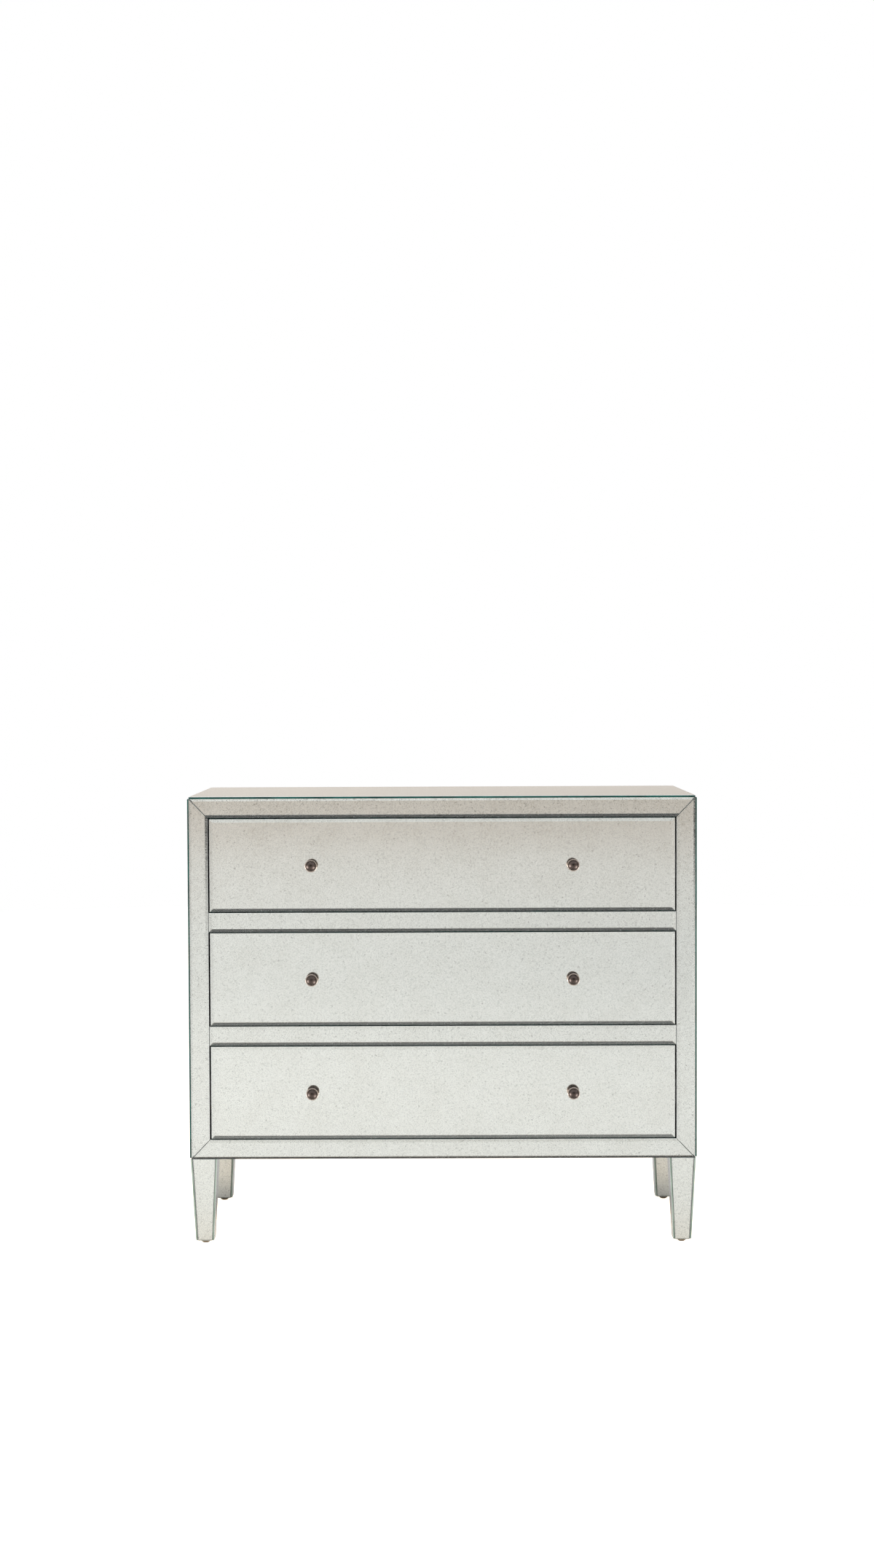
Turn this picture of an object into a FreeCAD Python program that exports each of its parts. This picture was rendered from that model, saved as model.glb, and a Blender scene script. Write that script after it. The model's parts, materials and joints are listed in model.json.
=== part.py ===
"""Three-drawer chest clad in antiqued mirror, on four tapered mirrored legs.

Millimetres, +X to the right, +Y to the back, +Z up. The origin is on the floor, under the middle of
the chest's outer box, knobs included. The front faces -Y.
"""
import FreeCAD, Part
import Sketcher
import math
import os

doc = FreeCAD.newDocument("mirrored_chest")

# ---------------------------------------------------------------------------------------------
# Driving dimensions, in millimetres. Every size below is bound to these cells.
# ---------------------------------------------------------------------------------------------
SIZES = {
    # case
    "case_width": 914.0,          # over the faces of the two side mirrors
    "case_depth": 406.0,          # face of the front mirrors to the back of the back panel
    "board": 18.0,                # side, top and bottom panels
    "frame_board": 18.0,          # face frame and drawer front panels
    "back_board": 6.0,
    # mirrors
    "front_glass": 4.0,           # face strips and drawer mirrors
    "edge_glass": 2.2,            # what the bevel leaves at the edge of a front mirror
    "bevel_width": 6.0,
    "outer_bevel_width": 4.0,     # on the frame's outer edges
    "side_glass": 3.0,
    "side_glass_lift": 2.0,       # side mirrors stop this far above the case's lower edge
    "top_glass": 4.0,
    "sheet_corner_radius": 2.5,   # top and side mirrors
    "strip_width": 35.0,          # top and bottom strips, and the strips between the drawers
    "stile_width": 33.6,          # strips up the left and right of the front
    "glass_joint": 0.8,           # hairline between neighbouring mirrors
    # drawers
    "drawer_front_height": 167.0,
    "drawer_gap": 1.5,            # above and below a drawer front
    "drawer_side_gap": 2.8,
    "box_board": 12.0,            # drawer sides, box front and back
    "box_height": 130.0,
    "box_rear_gap": 29.0,         # behind the drawer box, to the back panel
    "box_lift": 15.0,             # drawer box above the lower edge of its front
    "bottom_board": 5.0,          # thin drawer bottom
    "groove_depth": 6.0,
    "groove_rise": 10.0,          # lower edge of the box to the drawer bottom
    "groove_clearance": 0.2,
    # knobs
    "knob_spacing": 469.0,
    "knob_reach": 24.0,           # front mirrors' face to the top of the knob's dome
    "knob_foot_radius": 7.0,
    "knob_foot_height": 2.0,
    "knob_neck_radius": 4.6,
    "knob_rim_radius": 11.0,
    "knob_rim_height": 3.0,
    "knob_rim_round": 1.1,
    "knob_rim_seat": 13.0,        # front mirrors' face to the back of the rim
    "knob_dome_radius": 9.0,
    "knob_groove_depth": 1.0,     # groove between the rim and the dome
    "screw_radius": 2.0,
    "screw_hole_radius": 2.3,
    "screw_grip": 9.0,            # thread inside the knob
    "screw_head_radius": 4.2,
    "screw_head_height": 2.6,
    "thread_clearance": 0.05,
    # drawer slides
    "slide_width": 12.7,          # between the drawer box and the spacer block
    "slide_height": 45.0,
    "slide_setback": 2.0,         # short of the drawer box at both ends
    "slide_steel": 1.2,
    "slide_clearance": 0.4,
    "slide_lip": 9.6,             # depth of the cabinet member's channel
    "slide_rise": 65.0,           # lower edge of the box to the middle of the slide
    "spacer_height": 60.0,
    # legs
    "leg_length": 150.0,
    "leg_top": 48.0,              # square over the mirrors
    "leg_foot": 33.0,
    "leg_inset": 1.5,
    "leg_glass": 3.0,
    "leg_joint": 0.8,             # between a side facet and the front or back facet
    "bolt_radius": 4.0,
    "bolt_offset": 9.0,           # inboard of the leg's middle, so that the head clears the side panel
    "bolt_depth": 50.0,           # into the leg
    "bolt_head_radius": 7.5,
    "bolt_head_height": 5.3,
    "bolt_hole_radius": 4.3,
    "glide_height": 6.0,
    "glide_radius": 10.0,
    "glide_flat_radius": 5.0,
    "glide_nail_radius": 1.4,
    "glide_nail_length": 16.0,
}

sheet = doc.addObject("Spreadsheet::Sheet", "dims")
for row, (alias, size) in enumerate(SIZES.items(), start=1):
    sheet.set(f"A{row}", alias)
    sheet.set(f"B{row}", str(size))
    sheet.setAlias(f"B{row}", alias)
doc.recompute()

SIDES = {"left": -1, "right": 1}
DRAWERS = ("bottom", "middle", "top")

# ---------------------------------------------------------------------------------------------
# Places, as expressions of the driving dimensions
# ---------------------------------------------------------------------------------------------
# across, from the middle
CASE_HALF = "(dims.case_width / 2)"
CARCASS_HALF = f"({CASE_HALF} - dims.side_glass)"
PANEL_INSIDE = f"({CARCASS_HALF} - dims.board)"
OPENING_HALF = f"({CARCASS_HALF} - dims.stile_width)"
DRAWER_HALF = f"({OPENING_HALF} - dims.drawer_side_gap)"
BOX_HALF = f"({OPENING_HALF} - dims.slide_width)"
BOX_INSIDE = f"({BOX_HALF} - dims.box_board)"
LEG_X = f"({CASE_HALF} - dims.leg_inset - dims.leg_top / 2)"
BOLT_X = f"({LEG_X} - dims.bolt_offset)"
KNOB_X = "(dims.knob_spacing / 2)"

# front to back
FRONT = "((dims.knob_reach - dims.case_depth) / 2)"
BACK = f"({FRONT} + dims.case_depth)"
FRAME_FRONT = f"({FRONT} + dims.front_glass)"
FRAME_BACK = f"({FRAME_FRONT} + dims.frame_board)"
BACK_BOARD_FRONT = f"({BACK} - dims.back_board)"
BOX_BACK = f"({BACK_BOARD_FRONT} - dims.box_rear_gap)"
SLIDE_FRONT = f"({FRAME_BACK} + dims.slide_setback)"
SLIDE_BACK = f"({BOX_BACK} - dims.slide_setback)"
LEG_Y_FRONT = f"({FRONT} + dims.leg_inset + dims.leg_top / 2)"
LEG_Y_BACK = f"({BACK} - dims.leg_inset - dims.leg_top / 2)"

# heights
LEG_FOOT = "dims.glide_height"
CASE_LOW = f"({LEG_FOOT} + dims.leg_length)"
DRAWER_PITCH = "(dims.strip_width + dims.drawer_front_height + 2 * dims.drawer_gap)"
CASE_HIGH = f"({CASE_LOW} + {len(DRAWERS)} * {DRAWER_PITCH} + dims.strip_width)"
BOTTOM_PANEL_HIGH = f"({CASE_LOW} + dims.board)"
TOP_PANEL_LOW = f"({CASE_HIGH} - dims.board)"

subparts = []


def keep(feature, label):
    """Name a finished sub-part and put it on the list of files to write."""
    feature.Label = label
    subparts.append(feature)
    return feature


def span(side, inner, outer):
    """X limits of something between two distances from the middle, on one side of the chest."""
    if side > 0:
        return inner, outer
    return f"-{outer}", f"-{inner}"


# ---------------------------------------------------------------------------------------------
# Solids that the pieces are made from
# ---------------------------------------------------------------------------------------------
def block(name, x_limits, y_limits, z_limits):
    """A rectangular block between limits that are given as expressions."""
    box = doc.addObject("Part::Box", name)
    limits = (x_limits, y_limits, z_limits)
    for size, axis, (low, high) in zip(("Length", "Width", "Height"), "xyz", limits):
        box.setExpression(size, f"{high} - ({low})")
        box.setExpression(f".Placement.Base.{axis}", low)
    return box


def upright_frustum(name, foot, head, z_limits):
    """A block that tapers from the rectangle foot to the rectangle head, each (x limits, y limits)."""
    wedge = doc.addObject("Part::Wedge", name)
    wedge.Placement.Rotation = FreeCAD.Rotation(FreeCAD.Vector(1, 0, 0), 90)
    wedge.setExpression("Ymin", z_limits[0])
    wedge.setExpression("Ymax", z_limits[1])
    for (x_limits, y_limits), x_name, z_name in ((foot, "X", "Z"), (head, "X2", "Z2")):
        wedge.setExpression(f"{x_name}min", x_limits[0])
        wedge.setExpression(f"{x_name}max", x_limits[1])
        wedge.setExpression(f"{z_name}min", f"-({y_limits[1]})")
        wedge.setExpression(f"{z_name}max", f"-({y_limits[0]})")
    return wedge


def forward_frustum(name, back, front, y_limits):
    """A block that tapers forwards, from the rectangle back to the rectangle front, each (x, z limits)."""
    wedge = doc.addObject("Part::Wedge", name)
    wedge.Placement.Rotation = FreeCAD.Rotation(FreeCAD.Vector(1, 0, 0), 180)
    wedge.setExpression("Ymin", f"-({y_limits[1]})")
    wedge.setExpression("Ymax", f"-({y_limits[0]})")
    for (x_limits, z_limits), x_name, z_name in ((back, "X", "Z"), (front, "X2", "Z2")):
        wedge.setExpression(f"{x_name}min", x_limits[0])
        wedge.setExpression(f"{x_name}max", x_limits[1])
        wedge.setExpression(f"{z_name}min", f"-({z_limits[1]})")
        wedge.setExpression(f"{z_name}max", f"-({z_limits[0]})")
    return wedge


def rod(name, radius, length, centre, forward=False):
    """A round bar that starts at centre and runs up, or forwards towards -Y."""
    bar = doc.addObject("Part::Cylinder", name)
    bar.setExpression("Radius", radius)
    bar.setExpression("Height", length)
    return stand(bar, centre, forward)


def stand(feature, centre, forward):
    """Place a round feature's own origin at centre, upright or pointing forwards."""
    if forward:
        feature.Placement.Rotation = FreeCAD.Rotation(FreeCAD.Vector(1, 0, 0), 90)
    for axis, place in zip("xyz", centre):
        feature.setExpression(f".Placement.Base.{axis}", place)
    return feature


def joined(name, *features):
    """Features fused into one solid."""
    fuse = doc.addObject("Part::MultiFuse", name)
    fuse.Shapes = list(features)
    fuse.Refine = True
    return fuse


def grouped(name, *features):
    """Separate solids kept together in one sub-part."""
    group = doc.addObject("Part::Compound", name)
    group.Links = list(features)
    return group


def bored(name, blank, *tools):
    """A blank with holes or grooves cut out of it."""
    cut = doc.addObject("Part::Cut", name)
    cut.Base = blank
    cut.Tool = tools[0] if len(tools) == 1 else grouped(f"{name}_tools", *tools)
    return cut


def bevelled_pane(name, x_limits, z_limits):
    """A front mirror: flat at the back, all four front edges ground to a bevel."""
    step = f"({FRAME_FRONT} - dims.edge_glass)"
    face_x = (f"{x_limits[0]} + dims.bevel_width", f"{x_limits[1]} - dims.bevel_width")
    face_z = (f"{z_limits[0]} + dims.bevel_width", f"{z_limits[1]} - dims.bevel_width")
    edge = block(f"{name}_edge", x_limits, (step, FRAME_FRONT), z_limits)
    face = forward_frustum(f"{name}_face", (x_limits, z_limits), (face_x, face_z), (FRONT, step))
    return joined(f"{name}_pane", edge, face)


def origin_plane(body, role):
    """One of a body's own origin planes."""
    return next(plane for plane in body.Origin.OriginFeatures if plane.Role == role)


# How a sketch's constraints name a run's two ends and the sketch's own origin.
RUN_START, RUN_END = range(1, 3)
SKETCH_ORIGIN = -1


def outline_sketch(body, name, corners, height="0"):
    """A closed outline in the body's XY plane, raised by height, its corners bound to expressions.

    A corner is (x, y), or (x, y, radius) where the run that starts there is round and turns
    anticlockwise.
    """
    sketch = body.newObject("Sketcher::SketchObject", name)
    sketch.AttachmentSupport = (origin_plane(body, "XY_Plane"), [""])
    sketch.MapMode = "FlatFace"
    sketch.setExpression(".AttachmentOffset.Base.z", height)
    starts = [FreeCAD.Vector(evaluated(x), evaluated(y), 0) for x, y, *_ in corners]
    ends = starts[1:] + starts[:1]
    for (_x, _y, *radius), start, end in zip(corners, starts, ends):
        if radius:
            run = round_run(start, end, evaluated(*radius))
        else:
            run = Part.LineSegment(start, end)
        sketch.addGeometry(run, False)
    for index, (x, y, *radius) in enumerate(corners):
        following = (index + 1) % len(corners)
        sketch.addConstraint(Sketcher.Constraint("Coincident", index, RUN_END, following, RUN_START))
        for kind, place, value in zip(("DistanceX", "DistanceY"), (x, y), starts[index]):
            number = sketch.addConstraint(
                Sketcher.Constraint(kind, SKETCH_ORIGIN, RUN_START, index, RUN_START, value))
            sketch.setExpression(f"Constraints[{number}]", place)
        if radius:
            number = sketch.addConstraint(Sketcher.Constraint("Radius", index, evaluated(*radius)))
            sketch.setExpression(f"Constraints[{number}]", *radius)
    return sketch


def round_run(start, end, radius):
    """An anticlockwise arc of less than half a turn between two points."""
    chord = end - start
    rise = math.sqrt(max(radius ** 2 - chord.Length ** 2 / 4, 0))
    middle = (start + end) / 2 + FreeCAD.Vector(-chord.y, chord.x, 0).normalize() * rise
    circle = Part.Circle(middle, FreeCAD.Vector(0, 0, 1), radius)
    first, last = (math.atan2((point - middle).y, (point - middle).x) for point in (start, end))
    return Part.ArcOfCircle(circle, first, last)


def evaluated(expression):
    """The present value of an expression."""
    return float(sheet.evalExpression(expression.replace("dims.", "")))


# ---------------------------------------------------------------------------------------------
# Carcass: painted boards
# ---------------------------------------------------------------------------------------------
def leg_corners():
    """Name, X side, Y side and middle of each leg."""
    for depth_name, depth_side, leg_y in (("front", -1, LEG_Y_FRONT), ("back", 1, LEG_Y_BACK)):
        for side_name, side in SIDES.items():
            leg_x = LEG_X if side > 0 else f"(-{LEG_X})"
            yield f"{depth_name}_{side_name}", side, depth_side, leg_x, leg_y


def bolt_place(side, depth_side, leg_y):
    """Middle of a leg bolt, inboard of the leg's middle both ways."""
    bolt_x = BOLT_X if side > 0 else f"(-{BOLT_X})"
    bolt_y = f"({leg_y} {'-' if depth_side > 0 else '+'} dims.bolt_offset)"
    return bolt_x, bolt_y


def make_carcass():
    """Side, top, bottom and back panels, the bottom one bored for the leg bolts."""
    inner_depth = (FRAME_BACK, BACK_BOARD_FRONT)
    full_width = (f"-{CARCASS_HALF}", CARCASS_HALF)
    for side_name, side in SIDES.items():
        label = f"side_panel_{side_name}"
        panel = block(label, span(side, PANEL_INSIDE, CARCASS_HALF), inner_depth,
                      (BOTTOM_PANEL_HIGH, TOP_PANEL_LOW))
        keep(panel, label)
    keep(block("top_panel", full_width, inner_depth, (TOP_PANEL_LOW, CASE_HIGH)), "top_panel")
    blank = block("bottom_panel_blank", full_width, inner_depth, (CASE_LOW, BOTTOM_PANEL_HIGH))
    holes = []
    for corner, side, depth_side, leg_x, leg_y in leg_corners():
        bolt_x, bolt_y = bolt_place(side, depth_side, leg_y)
        holes.append(rod(f"bottom_panel_hole_{corner}", "dims.bolt_hole_radius", "dims.board",
                         (bolt_x, bolt_y, CASE_LOW)))
    keep(bored("bottom_panel", blank, *holes), "bottom_panel")
    keep(block("back_panel", full_width, (BACK_BOARD_FRONT, BACK), (CASE_LOW, CASE_HIGH)), "back_panel")


def rail_limits(level):
    """Heights of a face rail: level 0 is below the lowest drawer, and each next one above a drawer."""
    low = f"({CASE_LOW} + {level} * {DRAWER_PITCH})"
    return low, f"({low} + dims.strip_width)"


def make_face_frame():
    """Two stiles and the rails between them, which the front mirrors are glued to."""
    depth = (FRAME_FRONT, FRAME_BACK)
    for side_name, side in SIDES.items():
        label = f"face_stile_{side_name}"
        stile = block(label, span(side, OPENING_HALF, CARCASS_HALF), depth, (CASE_LOW, CASE_HIGH))
        keep(stile, label)
    opening = (f"-{OPENING_HALF}", OPENING_HALF)
    keep(block("face_rail_top", opening, depth, rail_limits(len(DRAWERS))), "face_rail_top")
    keep(block("face_rail_bottom", opening, depth, rail_limits(0)), "face_rail_bottom")
    dividers = []
    for level in range(1, len(DRAWERS)):
        dividers.append(block(f"divider_rail_{level}", opening, depth, rail_limits(level)))
    keep(grouped("face_divider_rails", *dividers), "face_divider_rails")


# ---------------------------------------------------------------------------------------------
# Mirrors on the case
# ---------------------------------------------------------------------------------------------
def make_frame_strip(label, length, width, end_width, turn, corner):
    """A strip of the mitred front frame, drawn from its outer edge, with both long edges bevelled.

    end_width is the width of the strips that it meets at its ends. The body's own X runs along the
    strip, Y from its outer edge to its inner edge and Z forwards. turn rotates it about the chest's
    Y axis, and corner is where its own origin lies.
    """
    body = doc.addObject("PartDesign::Body", label)
    joint = "dims.glass_joint / 2"
    mitre_slope = f"({end_width} / {width})"

    def outline(outer_bevel, inner_bevel):
        inner = f"({width} - {inner_bevel})"
        return [
            (f"{outer_bevel} * {mitre_slope} + {joint}", outer_bevel),
            (f"{length} - {outer_bevel} * {mitre_slope} - {joint}", outer_bevel),
            (f"{length} - {inner} * {mitre_slope} - {joint}", inner),
            (f"{inner} * {mitre_slope} + {joint}", inner),
        ]

    back_outline = outline_sketch(body, f"{label}_back_outline", outline("0", "0"))
    pad = body.newObject("PartDesign::Pad", f"{label}_edge")
    pad.Profile = back_outline
    pad.setExpression("Length", "dims.edge_glass")
    foot = outline_sketch(body, f"{label}_bevel_foot", outline("0", "0"), "dims.edge_glass")
    face = outline_sketch(body, f"{label}_face_outline",
                          outline("dims.outer_bevel_width", "dims.bevel_width"), "dims.front_glass")
    bevel = body.newObject("PartDesign::AdditiveLoft", f"{label}_bevel")
    bevel.Profile = foot
    bevel.Sections = [face]
    bevel.Ruled = True
    facing_front = FreeCAD.Rotation(FreeCAD.Vector(1, 0, 0), 90)
    body.Placement.Rotation = FreeCAD.Rotation(FreeCAD.Vector(0, 1, 0), turn) * facing_front
    for axis, place in zip("xyz", (corner[0], FRAME_FRONT, corner[1])):
        body.setExpression(f".Placement.Base.{axis}", place)
    keep(body, label)


def make_front_mirrors():
    """The four mitred strips of the frame, and the strips between the drawers."""
    across = (f"(2 * {CARCASS_HALF})", "dims.strip_width", "dims.stile_width")
    upright = (f"({CASE_HIGH} - {CASE_LOW})", "dims.stile_width", "dims.strip_width")
    make_frame_strip("frame_mirror_bottom", *across, 0, (f"-{CARCASS_HALF}", CASE_LOW))
    make_frame_strip("frame_mirror_right", *upright, -90, (CARCASS_HALF, CASE_LOW))
    make_frame_strip("frame_mirror_top", *across, 180, (CARCASS_HALF, CASE_HIGH))
    make_frame_strip("frame_mirror_left", *upright, 90, (f"-{CARCASS_HALF}", CASE_HIGH))
    reach = f"({OPENING_HALF} - dims.glass_joint)"
    strips = []
    for level in range(1, len(DRAWERS)):
        strips.append(bevelled_pane(f"divider_mirror_{level}", (f"-{reach}", reach), rail_limits(level)))
    keep(grouped("divider_mirrors", *strips), "divider_mirrors")


def rounded_sheet(label, width, length, thickness, turn, corner):
    """A plain sheet with its four corners rounded, drawn from one of them in its body's XY plane.

    turn rotates it, and corner is where its own origin lies.
    """
    body = doc.addObject("PartDesign::Body", label)
    corners = [("0", "0"), (width, "0"), (width, length), ("0", length)]
    outline = outline_sketch(body, f"{label}_outline", corners)
    pad = body.newObject("PartDesign::Pad", f"{label}_sheet")
    pad.Profile = outline
    pad.setExpression("Length", thickness)
    doc.recompute()
    through = []
    for number, edge in enumerate(pad.Shape.Edges, start=1):
        run = edge.Vertexes[-1].Point - edge.Vertexes[0].Point
        if abs(run.z) > abs(run.x) + abs(run.y):
            through.append(f"Edge{number}")
    rounding = body.newObject("PartDesign::Fillet", f"{label}_corners")
    rounding.Base = (pad, through)
    rounding.setExpression("Radius", "dims.sheet_corner_radius")
    body.Placement.Rotation = turn
    for axis, place in zip("xyz", corner):
        body.setExpression(f".Placement.Base.{axis}", place)
    keep(body, label)


def make_side_mirrors():
    """A sheet on each side, which covers the edges of the front strips and of the top and back panels."""
    sideways = FreeCAD.Rotation(FreeCAD.Vector(1, 1, 1), 120)
    low = f"({CASE_LOW} + dims.side_glass_lift)"
    for side_name, side in SIDES.items():
        near_x = span(side, CARCASS_HALF, CASE_HALF)[0]
        rounded_sheet(f"side_mirror_{side_name}", "dims.case_depth", f"({CASE_HIGH} - {low})",
                      "dims.side_glass", sideways, (near_x, FRONT, low))


def make_top_mirror():
    """The top sheet, which ends over the sides of the carcass, between the faces of the side mirrors."""
    rounded_sheet("top_mirror", f"(2 * {CARCASS_HALF})", "dims.case_depth", "dims.top_glass",
                  FreeCAD.Rotation(), (f"-{CARCASS_HALF}", FRONT, CASE_HIGH))


# ---------------------------------------------------------------------------------------------
# Legs
# ---------------------------------------------------------------------------------------------
def leg_half(foot, inset):
    """Half the leg's square at the foot or the head, less an inset from the mirrors' faces."""
    size = "dims.leg_foot" if foot else "dims.leg_top"
    return f"({size} / 2 - ({inset}))"


def around(middle, half):
    """Limits at the same distance on both sides of a middle."""
    return f"{middle} - {half}", f"{middle} + {half}"


def make_leg(corner, side, depth_side, leg_x, leg_y):
    """A tapered wooden leg, bored for its bolt and its glide's nail, and its four mirror facets."""
    heights = (LEG_FOOT, CASE_LOW)
    core_square = []
    facet_squares = {"right": [], "left": [], "front": [], "back": []}
    for foot in (True, False):
        half = leg_half(foot, "0")
        core = leg_half(foot, "dims.leg_glass")
        between = leg_half(foot, "dims.leg_glass + dims.leg_joint")
        core_square.append((around(leg_x, core), around(leg_y, core)))
        facet_squares["right"].append(((f"{leg_x} + {core}", f"{leg_x} + {half}"), around(leg_y, half)))
        facet_squares["left"].append(((f"{leg_x} - {half}", f"{leg_x} - {core}"), around(leg_y, half)))
        facet_squares["front"].append((around(leg_x, between), (f"{leg_y} - {half}", f"{leg_y} - {core}")))
        facet_squares["back"].append((around(leg_x, between), (f"{leg_y} + {core}", f"{leg_y} + {half}")))
    blank = upright_frustum(f"leg_{corner}_blank", core_square[0], core_square[1], heights)
    bolt_x, bolt_y = bolt_place(side, depth_side, leg_y)
    bolt_hole = rod(f"leg_{corner}_bolt_hole", "dims.bolt_radius + dims.thread_clearance",
                    "dims.bolt_depth + dims.thread_clearance",
                    (bolt_x, bolt_y, f"{CASE_LOW} - dims.bolt_depth - dims.thread_clearance"))
    nail_hole = rod(f"leg_{corner}_nail_hole", "dims.glide_nail_radius + dims.thread_clearance",
                    "dims.glide_nail_length + dims.thread_clearance", (leg_x, leg_y, LEG_FOOT))
    keep(bored(f"leg_{corner}", blank, bolt_hole, nail_hole), f"leg_{corner}")
    facets = []
    for facet, (foot_square, head_square) in facet_squares.items():
        facets.append(upright_frustum(f"leg_{corner}_{facet}_facet", foot_square, head_square, heights))
    keep(grouped(f"leg_mirrors_{corner}", *facets), f"leg_mirrors_{corner}")


def make_leg_bolt(corner, side, depth_side, leg_y):
    """A hexagon bolt: head on the bottom panel, shank through it and down into the leg."""
    bolt_x, bolt_y = bolt_place(side, depth_side, leg_y)
    shank = rod(f"bolt_{corner}_shank", "dims.bolt_radius", "dims.bolt_depth + dims.board",
                (bolt_x, bolt_y, f"{CASE_LOW} - dims.bolt_depth"))
    head = doc.addObject("Part::Prism", f"bolt_{corner}_head")
    head.Polygon = 6
    head.setExpression("Circumradius", "dims.bolt_head_radius")
    head.setExpression("Height", "dims.bolt_head_height")
    stand(head, (bolt_x, bolt_y, BOTTOM_PANEL_HIGH), False)
    return joined(f"bolt_{corner}", shank, head)


def make_glide(corner, leg_x, leg_y):
    """A dome glide: a slice of a ball with a flat foot, and a nail up into the leg."""
    rise = ("((dims.glide_radius ^ 2 - dims.glide_flat_radius ^ 2 + dims.glide_height ^ 2)"
            " / (2 * dims.glide_height))")
    ball = f"sqrt(dims.glide_flat_radius ^ 2 + {rise} ^ 2)"
    dome = doc.addObject("Part::Sphere", f"glide_{corner}_dome")
    dome.setExpression("Radius", ball)
    dome.setExpression("Angle1", f"-asin({rise} / {ball})")
    dome.setExpression("Angle2", f"asin((dims.glide_height - {rise}) / {ball})")
    stand(dome, (leg_x, leg_y, rise), False)
    nail = rod(f"glide_{corner}_nail", "dims.glide_nail_radius", "dims.glide_nail_length",
               (leg_x, leg_y, LEG_FOOT))
    return joined(f"glide_{corner}", dome, nail)


def make_legs():
    """Four legs, each with its bolt and its glide."""
    bolts = []
    glides = []
    for corner, side, depth_side, leg_x, leg_y in leg_corners():
        make_leg(corner, side, depth_side, leg_x, leg_y)
        bolts.append(make_leg_bolt(corner, side, depth_side, leg_y))
        glides.append(make_glide(corner, leg_x, leg_y))
    keep(grouped("leg_bolts", *bolts), "leg_bolts")
    keep(grouped("glides", *glides), "glides")


# ---------------------------------------------------------------------------------------------
# Drawer slides
# ---------------------------------------------------------------------------------------------
def drawer_low(place):
    """Lower edge of a drawer's front."""
    return f"({CASE_LOW} + dims.strip_width + dims.drawer_gap + {place} * {DRAWER_PITCH})"


def box_low(place):
    """Lower edge of a drawer's box."""
    return f"({drawer_low(place)} + dims.box_lift)"


def slide_middle(place):
    """Height of the middle of a drawer's slides."""
    return f"({box_low(place)} + dims.slide_rise)"


# Distances from the middle of the chest: the web of each channel's outer face, and its lips' edges.
# The drawer member opens outwards and the other two inwards, one inside the other.
STEEL_AND_CLEARANCE = "(dims.slide_steel + dims.slide_clearance)"
LIP_EDGE = f"({OPENING_HALF} - dims.slide_lip)"
MIDDLE_WEB = f"({OPENING_HALF} - {STEEL_AND_CLEARANCE})"
DRAWER_LIP_EDGE = f"({MIDDLE_WEB} - {STEEL_AND_CLEARANCE})"


def channel(name, side, x_limits, hollow, half_height, middle):
    """A steel channel along the drawer's travel, hollow up to one of its two x limits."""
    length = (SLIDE_FRONT, SLIDE_BACK)
    outer = block(f"{name}_blank", span(side, *x_limits), length, around(middle, half_height))
    inner = block(f"{name}_hollow", span(side, *hollow), length,
                  around(middle, f"({half_height} - dims.slide_steel)"))
    return bored(name, outer, inner)


def slide_pair(kind, drawer, place, x_limits, hollow, nesting):
    """The left and right members of one kind on one drawer, nesting steps inside the widest channel."""
    half_height = f"(dims.slide_height / 2 - {nesting} * {STEEL_AND_CLEARANCE})"
    pair = []
    for side_name, side in SIDES.items():
        name = f"{drawer}_{kind}_{side_name}"
        pair.append(channel(name, side, x_limits, hollow, half_height, slide_middle(place)))
    return pair


def make_slides():
    """Three steel members a side for each drawer, and the wooden spacers that carry them."""
    cabinet_members = []
    spacers = []
    for place, drawer in enumerate(DRAWERS):
        cabinet_members += slide_pair("cabinet_member", drawer, place, (LIP_EDGE, OPENING_HALF),
                                      (LIP_EDGE, f"({OPENING_HALF} - dims.slide_steel)"), 0)
        middle_members = slide_pair("middle_member", drawer, place, (LIP_EDGE, MIDDLE_WEB),
                                    (LIP_EDGE, f"({MIDDLE_WEB} - dims.slide_steel)"), 1)
        keep(grouped(f"{drawer}_slide_middle_members", *middle_members), f"{drawer}_slide_middle_members")
        drawer_members = slide_pair("drawer_member", drawer, place, (BOX_HALF, DRAWER_LIP_EDGE),
                                    (f"({BOX_HALF} + dims.slide_steel)", DRAWER_LIP_EDGE), 2)
        keep(grouped(f"{drawer}_slide_drawer_members", *drawer_members), f"{drawer}_slide_drawer_members")
        for side_name, side in SIDES.items():
            spacers.append(block(f"{drawer}_spacer_{side_name}", span(side, OPENING_HALF, PANEL_INSIDE),
                                 (FRAME_BACK, SLIDE_BACK),
                                 around(slide_middle(place), "dims.spacer_height / 2")))
    keep(grouped("slide_cabinet_members", *cabinet_members), "slide_cabinet_members")
    keep(grouped("slide_spacers", *spacers), "slide_spacers")


# ---------------------------------------------------------------------------------------------
# Drawers
# ---------------------------------------------------------------------------------------------
def knob_holes(name, place, radius, start, length):
    """The pair of round holes that the knob screws pass through, from start forwards."""
    middle = f"({drawer_low(place)} + dims.drawer_front_height / 2)"
    holes = []
    for side_name, side in SIDES.items():
        knob_x = KNOB_X if side > 0 else f"(-{KNOB_X})"
        holes.append(rod(f"{name}_hole_{side_name}", radius, length, (knob_x, start, middle), True))
    return holes


def make_drawer_front(drawer, place):
    """The front panel and the bevelled mirror on it, both bored for the knob screws."""
    low = drawer_low(place)
    heights = (low, f"({low} + dims.drawer_front_height)")
    across = (f"-{DRAWER_HALF}", DRAWER_HALF)
    hole = "dims.screw_hole_radius"
    blank = block(f"{drawer}_front_blank", across, (FRAME_FRONT, FRAME_BACK), heights)
    holes = knob_holes(f"{drawer}_front", place, hole, FRAME_BACK, "dims.frame_board")
    keep(bored(f"{drawer}_drawer_front_panel", blank, *holes), f"{drawer}_drawer_front_panel")
    pane = bevelled_pane(f"{drawer}_drawer_mirror", across, heights)
    holes = knob_holes(f"{drawer}_mirror", place, hole, FRAME_FRONT, "dims.front_glass")
    keep(bored(f"{drawer}_drawer_mirror", pane, *holes), f"{drawer}_drawer_mirror")


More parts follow.
